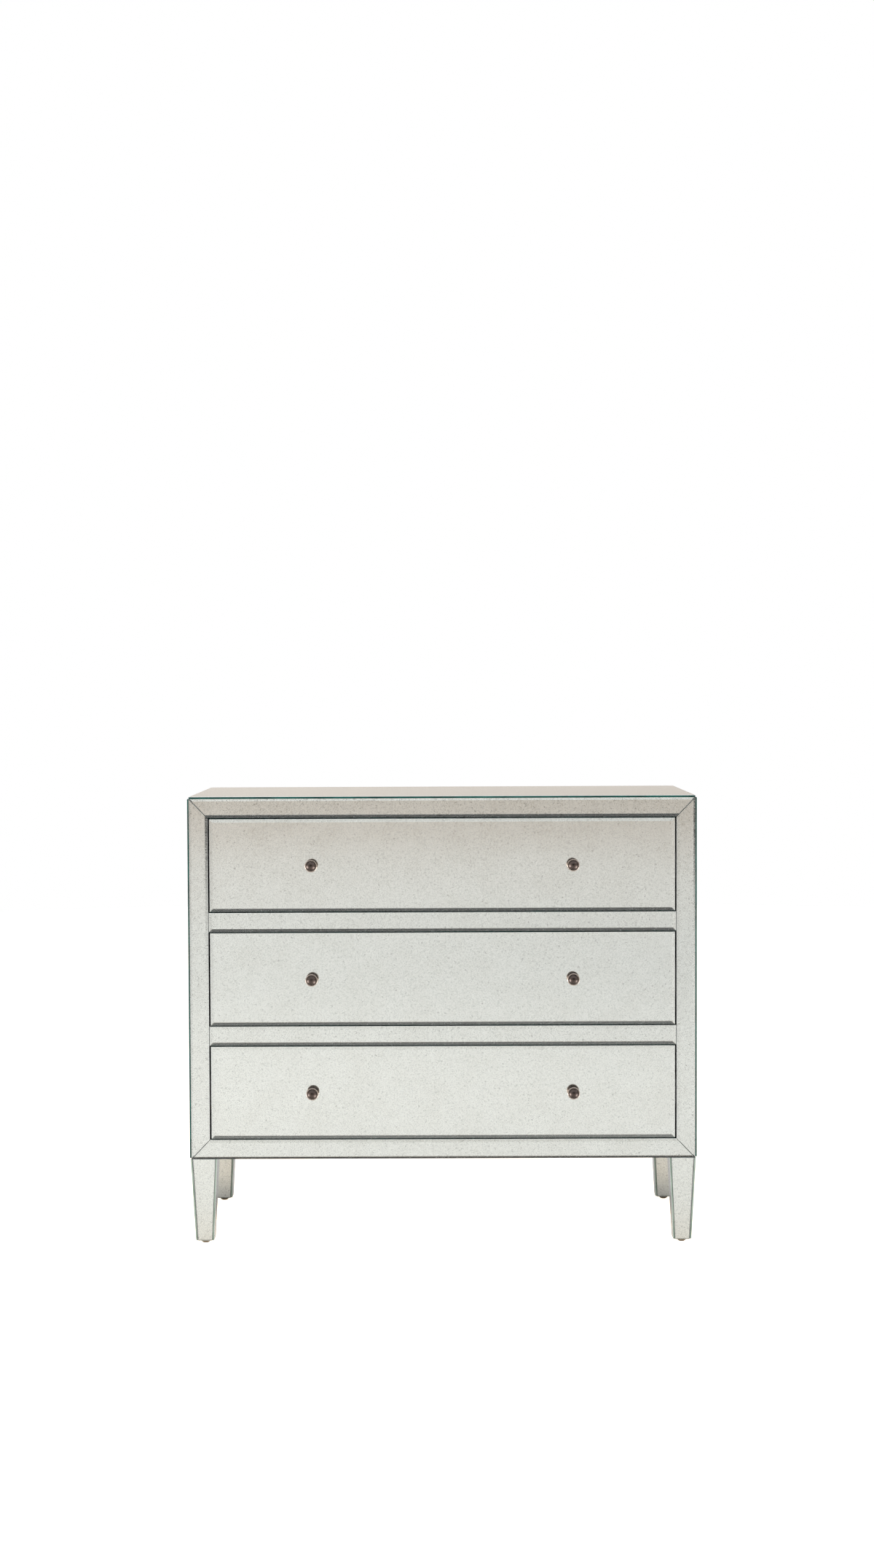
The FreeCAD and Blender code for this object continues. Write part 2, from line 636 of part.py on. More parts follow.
def make_drawer_box(drawer, place):
    """Box front, sides, back, and a thin bottom held in grooves."""
    low = box_low(place)
    heights = (low, f"({low} + dims.box_height)")
    inside = (f"-{BOX_INSIDE}", BOX_INSIDE)
    box_front_back = f"({FRAME_BACK} + dims.box_board)"
    bottom_low = f"({low} + dims.groove_rise)"
    bottom_high = f"({bottom_low} + dims.bottom_board)"
    groove_heights = (f"{bottom_low} - dims.groove_clearance", f"{bottom_high} + dims.groove_clearance")
    groove_reach = f"({BOX_INSIDE} + dims.groove_depth)"

    blank = block(f"{drawer}_box_front_blank", inside, (FRAME_BACK, box_front_back), heights)
    groove = block(f"{drawer}_box_front_groove", inside,
                   (f"{box_front_back} - dims.groove_depth", box_front_back), groove_heights)
    holes = knob_holes(f"{drawer}_box_front", place, "dims.screw_hole_radius", box_front_back,
                       "dims.box_board")
    keep(bored(f"{drawer}_drawer_box_front", blank, groove, *holes), f"{drawer}_drawer_box_front")

    sides = []
    for side_name, side in SIDES.items():
        blank = block(f"{drawer}_side_{side_name}_blank", span(side, BOX_INSIDE, BOX_HALF),
                      (FRAME_BACK, BOX_BACK), heights)
        groove = block(f"{drawer}_side_{side_name}_groove", span(side, BOX_INSIDE, groove_reach),
                       (f"{box_front_back} - dims.groove_depth", BOX_BACK), groove_heights)
        sides.append(bored(f"{drawer}_side_{side_name}", blank, groove))
    keep(grouped(f"{drawer}_drawer_sides", *sides), f"{drawer}_drawer_sides")

    back = block(f"{drawer}_drawer_back", inside, (f"{BOX_BACK} - dims.box_board", BOX_BACK),
                 (f"{bottom_high}", heights[1]))
    keep(back, f"{drawer}_drawer_back")
    tongue = f"({groove_reach} - dims.groove_clearance)"
    bottom = block(f"{drawer}_drawer_bottom", (f"-{tongue}", tongue),
                   (f"{box_front_back} - dims.groove_depth + dims.groove_clearance", BOX_BACK),
                   (bottom_low, bottom_high))
    keep(bottom, f"{drawer}_drawer_bottom")


def make_knob(drawer, side_name, knob_x, middle):
    """A turned knob: foot, neck, round-edged rim, and a dome that rises out of a groove inside the rim.

    The profile is drawn with X from the knob's axis and Y forwards from the mirror's face.
    """
    body = doc.addObject("PartDesign::Body", f"{drawer}_knob_{side_name}")
    rim_front = "(dims.knob_rim_seat + dims.knob_rim_height)"
    rim_flat = "(dims.knob_rim_radius - dims.knob_rim_round)"
    groove_floor = f"({rim_front} - dims.knob_groove_depth)"
    dome_rise = f"(dims.knob_reach - {groove_floor})"
    ball = f"((dims.knob_dome_radius ^ 2 + {dome_rise} ^ 2) / (2 * {dome_rise}))"
    flare_start = "((dims.knob_rim_seat + dims.knob_foot_height) / 2)"
    bore_radius = "(dims.screw_radius + dims.thread_clearance)"
    bore_end = "(dims.screw_grip + dims.thread_clearance)"
    corners = [
        (bore_radius, "0"),
        ("dims.knob_foot_radius", "0"),
        ("dims.knob_foot_radius", "dims.knob_foot_height"),
        ("dims.knob_neck_radius", "dims.knob_foot_height"),
        ("dims.knob_neck_radius", flare_start),
        (rim_flat, "dims.knob_rim_seat", "dims.knob_rim_round"),
        ("dims.knob_rim_radius", "dims.knob_rim_seat + dims.knob_rim_round"),
        ("dims.knob_rim_radius", f"{rim_front} - dims.knob_rim_round", "dims.knob_rim_round"),
        (rim_flat, rim_front),
        ("dims.knob_dome_radius", groove_floor, ball),
        ("0", "dims.knob_reach"),
        ("0", bore_end),
        (bore_radius, bore_end),
    ]
    profile = outline_sketch(body, f"{drawer}_knob_{side_name}_profile", corners)
    turning = body.newObject("PartDesign::Revolution", f"{drawer}_knob_{side_name}_turning")
    turning.Profile = profile
    turning.ReferenceAxis = (profile, ["V_Axis"])
    turning.Angle = 360
    body.Placement.Rotation = FreeCAD.Rotation(FreeCAD.Vector(1, 0, 0), 180)
    for axis, place in zip("xyz", (knob_x, FRONT, middle)):
        body.setExpression(f".Placement.Base.{axis}", place)
    return body


def make_knob_screw(drawer, side_name, knob_x, middle):
    """A machine screw: head inside the drawer box, shank through box, front panel and mirror."""
    name = f"{drawer}_screw_{side_name}"
    box_front_back = f"({FRAME_BACK} + dims.box_board)"
    shank = rod(f"{name}_shank", "dims.screw_radius",
                f"{box_front_back} - {FRONT} + dims.screw_grip", (knob_x, box_front_back, middle), True)
    head = rod(f"{name}_head", "dims.screw_head_radius", "dims.screw_head_height",
               (knob_x, f"{box_front_back} + dims.screw_head_height", middle), True)
    return joined(name, shank, head)


def make_knobs(drawer, place):
    """The pair of knobs on a drawer, and the screws that hold them."""
    middle = f"({drawer_low(place)} + dims.drawer_front_height / 2)"
    knobs = []
    screws = []
    for side_name, side in SIDES.items():
        knob_x = KNOB_X if side > 0 else f"(-{KNOB_X})"
        knobs.append(make_knob(drawer, side_name, knob_x, middle))
        screws.append(make_knob_screw(drawer, side_name, knob_x, middle))
    keep(grouped(f"{drawer}_drawer_knobs", *knobs), f"{drawer}_drawer_knobs")
    keep(grouped(f"{drawer}_drawer_knob_screws", *screws), f"{drawer}_drawer_knob_screws")


# ---------------------------------------------------------------------------------------------
# Build, check and write
# ---------------------------------------------------------------------------------------------
make_carcass()
make_face_frame()
make_front_mirrors()
make_side_mirrors()
make_top_mirror()
make_legs()
make_slides()
for drawer_place, drawer_name in enumerate(DRAWERS):
    make_drawer_front(drawer_name, drawer_place)
    make_drawer_box(drawer_name, drawer_place)
    make_knobs(drawer_name, drawer_place)
doc.recompute()

for feature in doc.Objects:
    if "Invalid" in feature.State or "Error" in feature.State:
        raise RuntimeError(f"{feature.Name} failed: {feature.State}")
for subpart in subparts:
    if subpart.Shape.isNull() or not subpart.Shape.isValid():
        raise RuntimeError(f"{subpart.Label} has no valid shape")

os.makedirs("parts", exist_ok=True)
for subpart in subparts:
    subpart.Shape.exportStep(f"parts/{subpart.Label}.step")
print(len(subparts), "sub-parts written")
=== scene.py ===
# %% [markdown]
# # A three-drawer chest clad in antiqued mirror
# A plain box of painted board stands on four tapered legs. Sheets of glass with silver leaf behind
# them cover its front, sides, top and legs. The solid model already holds every piece at its real
# place. This lesson gives each piece its finish and, where a sheet or a knob needs finer shaping than
# a solid model carries, models it again inside the same space.

# %% Load the solid model
import json
import math

import bmesh
import bpy
from mathutils import Matrix, Vector

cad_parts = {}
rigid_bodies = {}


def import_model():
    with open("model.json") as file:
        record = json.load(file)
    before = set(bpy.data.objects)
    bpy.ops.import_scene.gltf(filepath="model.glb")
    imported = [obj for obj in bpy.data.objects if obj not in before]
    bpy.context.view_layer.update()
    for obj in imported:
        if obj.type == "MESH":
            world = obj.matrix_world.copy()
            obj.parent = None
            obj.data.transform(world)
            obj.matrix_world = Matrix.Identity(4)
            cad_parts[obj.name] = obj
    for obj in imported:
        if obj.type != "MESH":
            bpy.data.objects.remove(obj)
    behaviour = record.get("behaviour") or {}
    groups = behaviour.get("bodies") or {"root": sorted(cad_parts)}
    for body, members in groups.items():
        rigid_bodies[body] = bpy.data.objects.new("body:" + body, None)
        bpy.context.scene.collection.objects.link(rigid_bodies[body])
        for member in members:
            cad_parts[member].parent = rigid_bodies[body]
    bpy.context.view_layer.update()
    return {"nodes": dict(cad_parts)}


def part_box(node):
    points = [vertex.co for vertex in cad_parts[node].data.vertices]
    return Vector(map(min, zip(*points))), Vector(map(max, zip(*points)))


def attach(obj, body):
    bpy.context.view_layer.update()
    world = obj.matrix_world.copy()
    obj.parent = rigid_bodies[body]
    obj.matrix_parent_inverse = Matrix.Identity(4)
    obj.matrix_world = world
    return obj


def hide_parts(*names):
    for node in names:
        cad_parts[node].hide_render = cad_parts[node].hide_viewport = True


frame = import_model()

# %% [markdown]
# ## Two small helpers for materials
# A finish chart gives colours as hex codes in sRGB, while a shader computes with linear light, so one
# function converts them. Shader trees are built from many small nodes. One function that adds a node
# with its settings and links keeps each material readable as a recipe.

# %% Colours and nodes
MM = 0.001


def linear(hex_code):
    """An sRGB colour such as "dfe1dc" as linear red, green, blue and alpha."""
    shares = [int(hex_code[i:i + 2], 16) / 255 for i in (0, 2, 4)]
    return [s / 12.92 if s <= 0.04045 else ((s + 0.055) / 1.055) ** 2.4 for s in shares] + [1.0]


def add(tree, kind, inputs=None, **settings):
    """Adds a shader node. inputs maps a socket's name to a value, or to another node's output to link."""
    made = tree.nodes.new(kind)
    for name, value in settings.items():
        setattr(made, name, value)
    for socket, value in (inputs or {}).items():
        if isinstance(value, bpy.types.NodeSocket):
            tree.links.new(value, made.inputs[socket])
        else:
            made.inputs[socket].default_value = value
    return made


def new_finish(name):
    """An empty material: its node tree, and the object coordinates that every pattern here is laid in."""
    material = bpy.data.materials.new(name)
    material.use_nodes = True
    tree = material.node_tree
    tree.nodes.clear()
    places = add(tree, "ShaderNodeTexCoord").outputs["Object"]
    return material, tree, places


def surface(tree, **inputs):
    """The one Principled surface of a finish, joined to its output."""
    named = {name.replace("_", " "): value for name, value in inputs.items()}
    shader = add(tree, "ShaderNodeBsdfPrincipled", named)
    add(tree, "ShaderNodeOutputMaterial", {"Surface": shader.outputs[0]})
    return shader


print("chalk white in linear light:", [round(c, 3) for c in linear("f4f4f0")])

# %% [markdown]
# ## Silver leaf
# The mirror isn't modern silvering but leaf: squares of beaten silver laid on the back of the glass,
# then aged so that it clouds and spots. To the eye it is a slightly blurred mirror, a little warm and
# uneven. Its broken surface shows as a grain of small flakes, a few of them darker, and fine grey
# specks and short curved hairs show where the leaf broke. A metal shader with a low roughness makes
# the reflection, and every other trait is a pattern that darkens or roughens it. Patterns use the
# object's own coordinates, which are metres here, so each scale is one over a real size. The narrow
# strips of the front carry a more worn leaf than the broad sheets. Towards the top of the chest more of
# the leaf turns to its tarnished colour, and from the topmost strip up its grain is most marked.

# %% Silver leaf behind glass
LEAF_SQUARE = 92 * MM        # one beaten leaf
CLOUD_SIZE = 60 * MM
RUB_WIDTH, RUB_LENGTH = 4 * MM, 6 * MM
FLAKE = 1.0 * MM             # one flake of the grain
SPECK_SPACING = 13 * MM
HAIR_SPACING = 6 * MM
HAIR_CURL = 5 * MM


def silver_leaf(name, bright, tarnished, figure):
    """Aged leaf, whose clouds run from a bright to a tarnished colour. figure is how marked its grain is."""
    material, tree, places = new_finish(name)

    def step(value, low, high, result_low=0.0, result_high=1.0):
        span = {"From Min": low, "From Max": high, "To Min": result_low, "To Max": result_high}
        return add(tree, "ShaderNodeMapRange", {"Value": value} | span).outputs["Result"]

    def both(a, b, operation="MULTIPLY"):
        return add(tree, "ShaderNodeMath", {0: a, 1: b}, operation=operation).outputs[0]

    # Clouds of tarnish, and rubbed streaks inside them from wiping the size on with a cloth.
    cloud = add(tree, "ShaderNodeTexNoise", {"Vector": places, "Scale": 1 / CLOUD_SIZE, "Detail": 5.0,
                                             "Roughness": 0.6}).outputs["Fac"]
    wiped = add(tree, "ShaderNodeMapping", {"Vector": places, "Scale": [1 / RUB_WIDTH, 1 / RUB_WIDTH,
                                                                        1 / RUB_LENGTH]})
    streak = add(tree, "ShaderNodeTexNoise", {"Vector": wiped.outputs["Vector"], "Scale": 1.0, "Detail": 4.0,
                                              "Roughness": 0.6}).outputs["Fac"]
    height = add(tree, "ShaderNodeSeparateXYZ", {"Vector": places}).outputs["Z"]
    # Towards the top of the chest a larger share of each cloud turns to the tarnished colour, so the leaf is
    # darker and warmer there.
    under_top = step(height, CROWN_LOW - 90 * MM, CROWN_LOW + 4 * MM, 0.08, 0.34)
    tarnish = both(both(step(streak, 0.46, 0.7), step(cloud, 0.44, 0.6)), under_top)
    tarnish = both(tarnish, step(cloud, 0.35, 0.7, 0.0, 0.08), "ADD")
    tone = add(tree, "ShaderNodeMixRGB", {"Fac": tarnish, "Color1": linear(bright),
                                          "Color2": linear(tarnished)}).outputs["Color"]

    # The grain: each flake has a random share, and its fourth power leaves only a few of them dark.
    flakes = add(tree, "ShaderNodeTexVoronoi", {"Vector": places, "Scale": 1 / FLAKE})
    flake = add(tree, "ShaderNodeSeparateColor", {"Color": flakes.outputs["Color"]}).outputs["Red"]
    grain = both(flake, 4.0, "POWER")
    marked = step(height, CROWN_LOW - 4 * MM, CROWN_LOW + 4 * MM, figure, 1.4 * figure)
    shade = step(grain, 0.0, 1.0, 1.08, 0.6)
    tone = add(tree, "ShaderNodeMixRGB", {"Fac": marked, "Color1": tone, "Color2": shade},
               blend_type="MULTIPLY").outputs["Color"]

    # Specks: some cells of a scattered pattern hold a pinhole where the silver is gone.
    cells = add(tree, "ShaderNodeTexVoronoi", {"Vector": places, "Scale": 1 / SPECK_SPACING})
    chance = add(tree, "ShaderNodeSeparateColor", {"Color": cells.outputs["Color"]})
    specks = both(step(cells.outputs["Distance"], 0.015, 0.045, 0.7, 0.0),
                  both(chance.outputs["Red"], 0.6, "GREATER_THAN"))

    # Hairs: thin level lines of a slow noise, kept only near scattered points, which leaves short arcs.
    swirl = add(tree, "ShaderNodeTexNoise", {"Vector": places, "Scale": 1 / HAIR_CURL, "Detail": 1.0})
    off_line = both(both(swirl.outputs["Fac"], 0.5, "SUBTRACT"), 0.0, "ABSOLUTE")
    patches = add(tree, "ShaderNodeTexVoronoi", {"Vector": places, "Scale": 1 / HAIR_SPACING})
    dark = add(tree, "ShaderNodeSeparateColor", {"Color": patches.outputs["Color"]}).outputs["Red"]
    near_point = step(patches.outputs["Distance"], 0.3, 0.4, 1.0, 0.0)
    hairs = both(step(off_line, 0.015, 0.045, 0.7, 0.0), near_point)
    hairs = both(hairs, both(dark, marked))
    broken = both(specks, hairs, "MAXIMUM")

    # Seams between leaves: faint lines one leaf apart each way, a little bent, and only here and there.
    drift = add(tree, "ShaderNodeTexNoise", {"Vector": places, "Scale": 1 / LEAF_SQUARE, "Detail": 2.0})
    bent = add(tree, "ShaderNodeVectorMath", {0: drift.outputs["Color"], "Scale": 5 * MM}, operation="SCALE")
    bent = add(tree, "ShaderNodeVectorMath", {0: places, 1: bent.outputs[0]}, operation="ADD")
    split = add(tree, "ShaderNodeSeparateXYZ", {"Vector": bent.outputs[0]})
    seams = 0.0
    for axis in "XYZ":
        along = both(split.outputs[axis], 0.3 * LEAF_SQUARE, "ADD")
        along = both(along, LEAF_SQUARE, "WRAP")
        edge = both(both(along, LEAF_SQUARE / 2, "SUBTRACT"), 0.0, "ABSOLUTE")
        seams = both(seams, step(edge, 0.3 * MM, 0.8 * MM, 1.0, 0.0), "MAXIMUM")
    seams = both(seams, step(drift.outputs["Fac"], 0.46, 0.56, 0.0, 0.3))

    tone = add(tree, "ShaderNodeMixRGB", {"Fac": seams, "Color1": tone, "Color2": linear("8f8a80")})
    tone = add(tree, "ShaderNodeMixRGB", {"Fac": broken, "Color1": tone.outputs["Color"],
                                          "Color2": linear("6f6c66")})

    # A small part of the light is scattered instead of mirrored, and the darker flakes are rougher.
    rough = step(grain, 0.0, 1.0, 0.06, 0.12)
    surface(tree, Base_Color=tone.outputs["Color"], Metallic=0.94, Roughness=rough)
    return material


CROWN_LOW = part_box("frame_mirror_top")[0].z
leaf = silver_leaf("silver_leaf", bright="e3e3e0", tarnished="b9b2a5", figure=0.55)
leaf_worn = silver_leaf("silver_leaf_worn", bright="e1e1de", tarnished="b9b2a5", figure=0.65)
print("leaf noise scales per metre:", round(1 / CLOUD_SIZE), round(1 / FLAKE), round(1 / SPECK_SPACING))

# %% [markdown]
# ## Glass
# Float glass is clear with a breath of green, and its index of refraction is 1.52. Light enters it,
# meets the leaf and comes out again, so a ground bevel works as a prism and shows a different part of
# the room from the flat face beside it. That only comes out right if the glass is real geometry, so
# each mirror here is a slab of glass with a thin skin of leaf at its back. The cut edge of a sheet is
# another matter: light is trapped between the faces and leaves it deep green, and tracing that would
# cost much and look noisy. It is a finish of its own instead. A bevel is polished after grinding, less
# evenly than a face that floated, so its glass has a stronger haze in small patches.

# %% Clear glass, ground lines and green edges
def float_glass(name, patch, haziest):
    """Clear glass with a faint bloom in patches of a given size, so that its gloss isn't perfect."""
    material, tree, places = new_finish(name)
    laid = add(tree, "ShaderNodeMapping", {"Vector": places, "Scale": [1 / s for s in patch]})
    bloom = add(tree, "ShaderNodeTexNoise", {"Vector": laid.outputs["Vector"], "Scale": 1.0, "Detail": 3.0})
    rough = add(tree, "ShaderNodeMapRange", {"Value": bloom.outputs["Fac"], "From Min": 0.35, "From Max": 0.7,
                                             "To Min": 0.0, "To Max": haziest})
    surface(tree, Base_Color=linear("f7faf8"), Roughness=rough.outputs["Result"], IOR=1.52,
            Transmission_Weight=1.0)
    return material


def cut_edge(name, deep, pale):
    """A ground and polished edge: green in depth, with lighter and darker stretches along it."""
    material, tree, places = new_finish(name)
    stretches = add(tree, "ShaderNodeTexNoise", {"Vector": places, "Scale": 1 / (35 * MM), "Detail": 3.0})
    tone = add(tree, "ShaderNodeMapRange", {"Value": stretches.outputs["Fac"], "From Min": 0.35,
                                            "From Max": 0.65})
    colour = add(tree, "ShaderNodeMixRGB", {"Fac": tone.outputs["Result"], "Color1": linear(deep),
                                            "Color2": linear(pale)})
    fine = add(tree, "ShaderNodeTexNoise", {"Vector": places, "Scale": 1 / (0.6 * MM), "Detail": 2.0})
    rough = add(tree, "ShaderNodeMapRange", {"Value": fine.outputs["Fac"], "To Min": 0.1, "To Max": 0.4})
    surface(tree, Base_Color=colour.outputs["Color"], Roughness=rough.outputs["Result"], IOR=1.52,
            Specular_IOR_Level=0.15)
    return material


def ground_line(name):
    """The fine line where two ground faces of the glass meet. Its frosting catches the light."""
    material, tree, places = new_finish(name)
    frost = add(tree, "ShaderNodeTexNoise", {"Vector": places, "Scale": 1 / (1.2 * MM), "Detail": 2.0})
    tone = add(tree, "ShaderNodeMixRGB", {"Fac": frost.outputs["Fac"], "Color1": linear("ffffff"),
                                          "Color2": linear("cfd8d2")})
    surface(tree, Base_Color=tone.outputs["Color"], Roughness=0.35, IOR=1.52)
    return material


glass = float_glass("float_glass", Vector((30, 30, 30)) * MM, 0.03)
bevel_glass = float_glass("polished_bevel_glass", Vector((8, 3, 2)) * MM, 0.3)
edge_deep = cut_edge("cut_edge_deep_green", deep="103d38", pale="1f5f57")
edge_pale = cut_edge("cut_edge_pale_green", deep="8fa596", pale="b7c8bb")
frosted = ground_line("ground_glass_line")
print("glass finishes:", glass.name, edge_deep.name, edge_pale.name, frosted.name)

# %% [markdown]
# ## Metal, wood and board
# The knobs are turned brass under a dark bronze patina that has rubbed off at the rim. Drawer slides
# are zinc-plated steel, drawn through a die that leaves faint lines along them. Drawer boxes are pale
# birch with its grain along each board. The carcass is fibreboard rolled with near-black paint, which
# shows only in the gaps and inside, and the back is a thin sealed sheet.

# %% Metals
def rubbed_metal(name, shade, light, patch, rough_low, rough_high):
    """A metal whose tone and gloss drift over patches of a given size, as handled or plated metal does."""
    material, tree, places = new_finish(name)
    wear = add(tree, "ShaderNodeTexNoise", {"Vector": places, "Scale": 1 / patch, "Detail": 4.0})
    tone = add(tree, "ShaderNodeMixRGB", {"Fac": wear.outputs["Fac"], "Color1": linear(shade),
                                          "Color2": linear(light)})
    rough = add(tree, "ShaderNodeMapRange", {"Value": wear.outputs["Fac"], "From Min": 0.3,
                                             "From Max": 0.7, "To Min": rough_low, "To Max": rough_high})
    surface(tree, Base_Color=tone.outputs["Color"], Metallic=1.0, Roughness=rough.outputs["Result"])
    return material


def drawn_steel(name):
    """Zinc plate on steel that was drawn front to back, so its fine lines run along Y."""
    material, tree, places = new_finish(name)
    line_size = Vector((0.4, 60.0, 0.4)) * MM
    along = add(tree, "ShaderNodeMapping", {"Vector": places, "Scale": [1 / s for s in line_size]})
    lines = add(tree, "ShaderNodeTexNoise", {"Vector": along.outputs["Vector"], "Scale": 1.0, "Detail": 3.0})
    tone = add(tree, "ShaderNodeMixRGB", {"Fac": lines.outputs["Fac"], "Color1": linear("a9adaf"),
                                          "Color2": linear("d4d8da")})
    rough = add(tree, "ShaderNodeMapRange", {"Value": lines.outputs["Fac"], "From Min": 0.3,
                                             "From Max": 0.7, "To Min": 0.22, "To Max": 0.42})
    surface(tree, Base_Color=tone.outputs["Color"], Metallic=1.0, Roughness=rough.outputs["Result"])
    return material


patina = rubbed_metal("bronze_patina", "433a36", "5d524d", 6 * MM, 0.34, 0.46)
rubbed_rim = rubbed_metal("rubbed_bronze_rim", "a3958b", "c4b6ab", 3 * MM, 0.24, 0.4)
zinc = drawn_steel("zinc_plated_steel")
nickel = rubbed_metal("dulled_nickel", "7d7464", "a3988a", 4 * MM, 0.3, 0.5)
print("metals:", patina.name, rubbed_rim.name, zinc.name, nickel.name)


# %% Wood and board
def wood(name, grain, early, late, band, rough):
    """Planed wood with its grain along the X or the Y axis. band is the width of a growth ring's stripe."""
    material, tree, places = new_finish(name)
    stretch = 18.0
    sizes = [band * (stretch if axis == grain else 1.0) for axis in "XYZ"]
    along = add(tree, "ShaderNodeMapping", {"Vector": places, "Scale": [1 / s for s in sizes]})
    rings = add(tree, "ShaderNodeTexNoise", {"Vector": along.outputs["Vector"], "Scale": 0.55,
                                             "Detail": 5.0, "Distortion": 0.6})
    pores = add(tree, "ShaderNodeTexNoise", {"Vector": along.outputs["Vector"], "Scale": 7.0, "Detail": 2.0})
    figure = add(tree, "ShaderNodeMapRange", {"Value": rings.outputs["Fac"], "From Min": 0.32,
                                              "From Max": 0.68})
    tone = add(tree, "ShaderNodeMixRGB", {"Fac": figure.outputs["Result"], "Color1": linear(early),
                                          "Color2": linear(late)})
    shade = add(tree, "ShaderNodeMapRange", {"Value": pores.outputs["Fac"], "From Min": 0.5,
                                             "From Max": 0.75, "To Min": 1.0, "To Max": 0.84})
    tone = add(tree, "ShaderNodeMixRGB", {"Fac": 1.0, "Color1": tone.outputs["Color"],
                                          "Color2": shade.outputs["Result"]}, blend_type="MULTIPLY")
    bump = add(tree, "ShaderNodeBump", {"Height": pores.outputs["Fac"], "Strength": 0.25,
                                        "Distance": 0.1 * MM})
    surface(tree, Base_Color=tone.outputs["Color"], Roughness=rough, Normal=bump.outputs["Normal"])
    return material


def painted_board(name, colour, worn):
    """Rolled satin paint on fibreboard: a faint orange peel and slightly uneven gloss."""
    material, tree, places = new_finish(name)
    peel = add(tree, "ShaderNodeTexNoise", {"Vector": places, "Scale": 1 / (1.5 * MM), "Detail": 2.0})
    blotch = add(tree, "ShaderNodeTexNoise", {"Vector": places, "Scale": 1 / (80 * MM), "Detail": 3.0})
    tone = add(tree, "ShaderNodeMixRGB", {"Fac": blotch.outputs["Fac"], "Color1": linear(colour),
                                          "Color2": linear(worn)})
    rough = add(tree, "ShaderNodeMapRange", {"Value": blotch.outputs["Fac"], "From Min": 0.3,
                                             "From Max": 0.7, "To Min": 0.42, "To Max": 0.6})
    bump = add(tree, "ShaderNodeBump", {"Height": peel.outputs["Fac"], "Strength": 0.2, "Distance": 0.1 * MM})
    surface(tree, Base_Color=tone.outputs["Color"], Roughness=rough.outputs["Result"],
            Normal=bump.outputs["Normal"])
    return material


birch_lengthwise = wood("birch_grain_front_to_back", "Y", "dcc198", "c9a778", 9 * MM, 0.42)
birch_crosswise = wood("birch_grain_across", "X", "dcc198", "c9a778", 9 * MM, 0.42)
ply = wood("sealed_plywood", "X", "b8946a", "9c7a52", 14 * MM, 0.5)
black_paint = painted_board("near_black_paint", "15110f", "221d1a")
print("boards:", birch_lengthwise.name, birch_crosswise.name, ply.name, black_paint.name)

# %% [markdown]
# ## How a sheet of glass is built
# Every mirror is cut to an outline and ground at its edges. The mesh repeats that: the outline is
# stacked in rings from the back of the sheet to its face, each ring inset a little more than the one
# before, and the bands between rings get the finish of the ground edge, the bevel or the arris. A
# second, much thinner stack at the back is the leaf. A place function turns distances across, up and
# out of the sheet into the chest's own frame, so that upright, flat and leaning sheets share one maker.

# %% Outlines and stacked rings
def inset(outline, amounts):
    """A convex outline, counterclockwise, with each side moved inwards by its own amount."""
    sides = []
    for start, end, amount in zip(outline, outline[1:] + outline[:1], amounts):
        run = (end - start).normalized()
        sides.append((start + Vector((-run.y, run.x)) * amount, run))
    corners = []
    for (start_a, run_a), (start_b, run_b) in zip(sides[-1:] + sides[:-1], sides):
        reach = (start_b - start_a).cross(run_b) / run_a.cross(run_b)
        corners.append(start_a + run_a * reach)
    return corners


def ring_of(bm, place, outline, out):
    """The vertices of one ring, at a distance out from the back of the sheet."""
    return [bm.verts.new(place(corner.x, corner.y, out)) for corner in outline]


def band(bm, low, high, finishes):
    """The faces between two rings, one finish for each side."""
    for i, finish in enumerate(finishes):
        j = (i + 1) % len(low)
        bm.faces.new((low[i], low[j], high[j], high[i])).material_index = finish


def lid(bm, loops, finish):
    """Closes a ring, less the round holes in it."""
    if len(loops) == 1:
        bm.faces.new(loops[0]).material_index = finish
        return
    edges = []
    for loop in loops:
        for a, b in zip(loop, loop[1:] + loop[:1]):
            edges.append(bm.edges.get((a, b)) or bm.edges.new((a, b)))
    filled = bmesh.ops.triangle_fill(bm, edges=edges, use_beauty=True)
    for made in filled["geom"]:
        if isinstance(made, bmesh.types.BMFace):
            made.material_index = finish


def stack(bm, place, rings, bands, face, back, holes=()):
    """A closed sheet: rings of (outline, out), the finishes of the bands between them, and its two lids."""
    loops = [ring_of(bm, place, outline, out) for outline, out in rings]
    for low, high, finishes in zip(loops, loops[1:], bands):
        band(bm, low, high, finishes)
    fronts = [loops[-1]]
    backs = [loops[0]]
    for hole in holes:
        front_loop = ring_of(bm, place, hole, rings[-1][1])
        back_loop = ring_of(bm, place, hole, rings[0][1])
        band(bm, front_loop, back_loop, [back] * len(hole))
        fronts.append(front_loop)
        backs.append(back_loop)
    lid(bm, fronts, face)
    lid(bm, backs[:1] if not holes else backs, back)


# %% [markdown]
# ## Pieces and where they ride
# A finished mesh becomes a piece: it takes its finishes in the order that its faces number them, rides
# on the body that the solid part belongs to, and hides the solid nodes it stands for. Flat faces keep
# hard edges. Turned work is smoothed, except where the tool left a corner.

# %% From mesh to piece
def make_piece(name, bm, finishes, body, nodes=(), smooth_below=None):
    """Turns a mesh into a piece that rides on a body and stands for some of the solid nodes."""
    bmesh.ops.recalc_face_normals(bm, faces=bm.faces)
    mesh = bpy.data.meshes.new(name)
    bm.to_mesh(mesh)
    bm.free()
    if smooth_below is not None:
        mesh.shade_smooth()
        mesh.set_sharp_from_angle(angle=math.radians(smooth_below))
    for finish in finishes:
        mesh.materials.append(finish)
    piece = bpy.data.objects.new(name, mesh)
    bpy.context.scene.collection.objects.link(piece)
    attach(piece, body)
    if nodes:
        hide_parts(*nodes)
    return piece


def facing(direction, origin):
    """A place function for a flat sheet that faces a direction: across and up it, and out of it."""
    across, up = {
        "front": ((1, 0, 0), (0, 0, 1)),
        "right": ((0, 1, 0), (0, 0, 1)),
        "left": ((0, -1, 0), (0, 0, 1)),
        "top": ((1, 0, 0), (0, 1, 0)),
    }[direction]
    across, up = Vector(across), Vector(up)
    out = across.cross(up)
    return lambda u, v, w: origin + across * u + up * v + out * w


def rectangle(width, height):
    return [Vector((0, 0)), Vector((width, 0)), Vector((width, height)), Vector((0, height))]


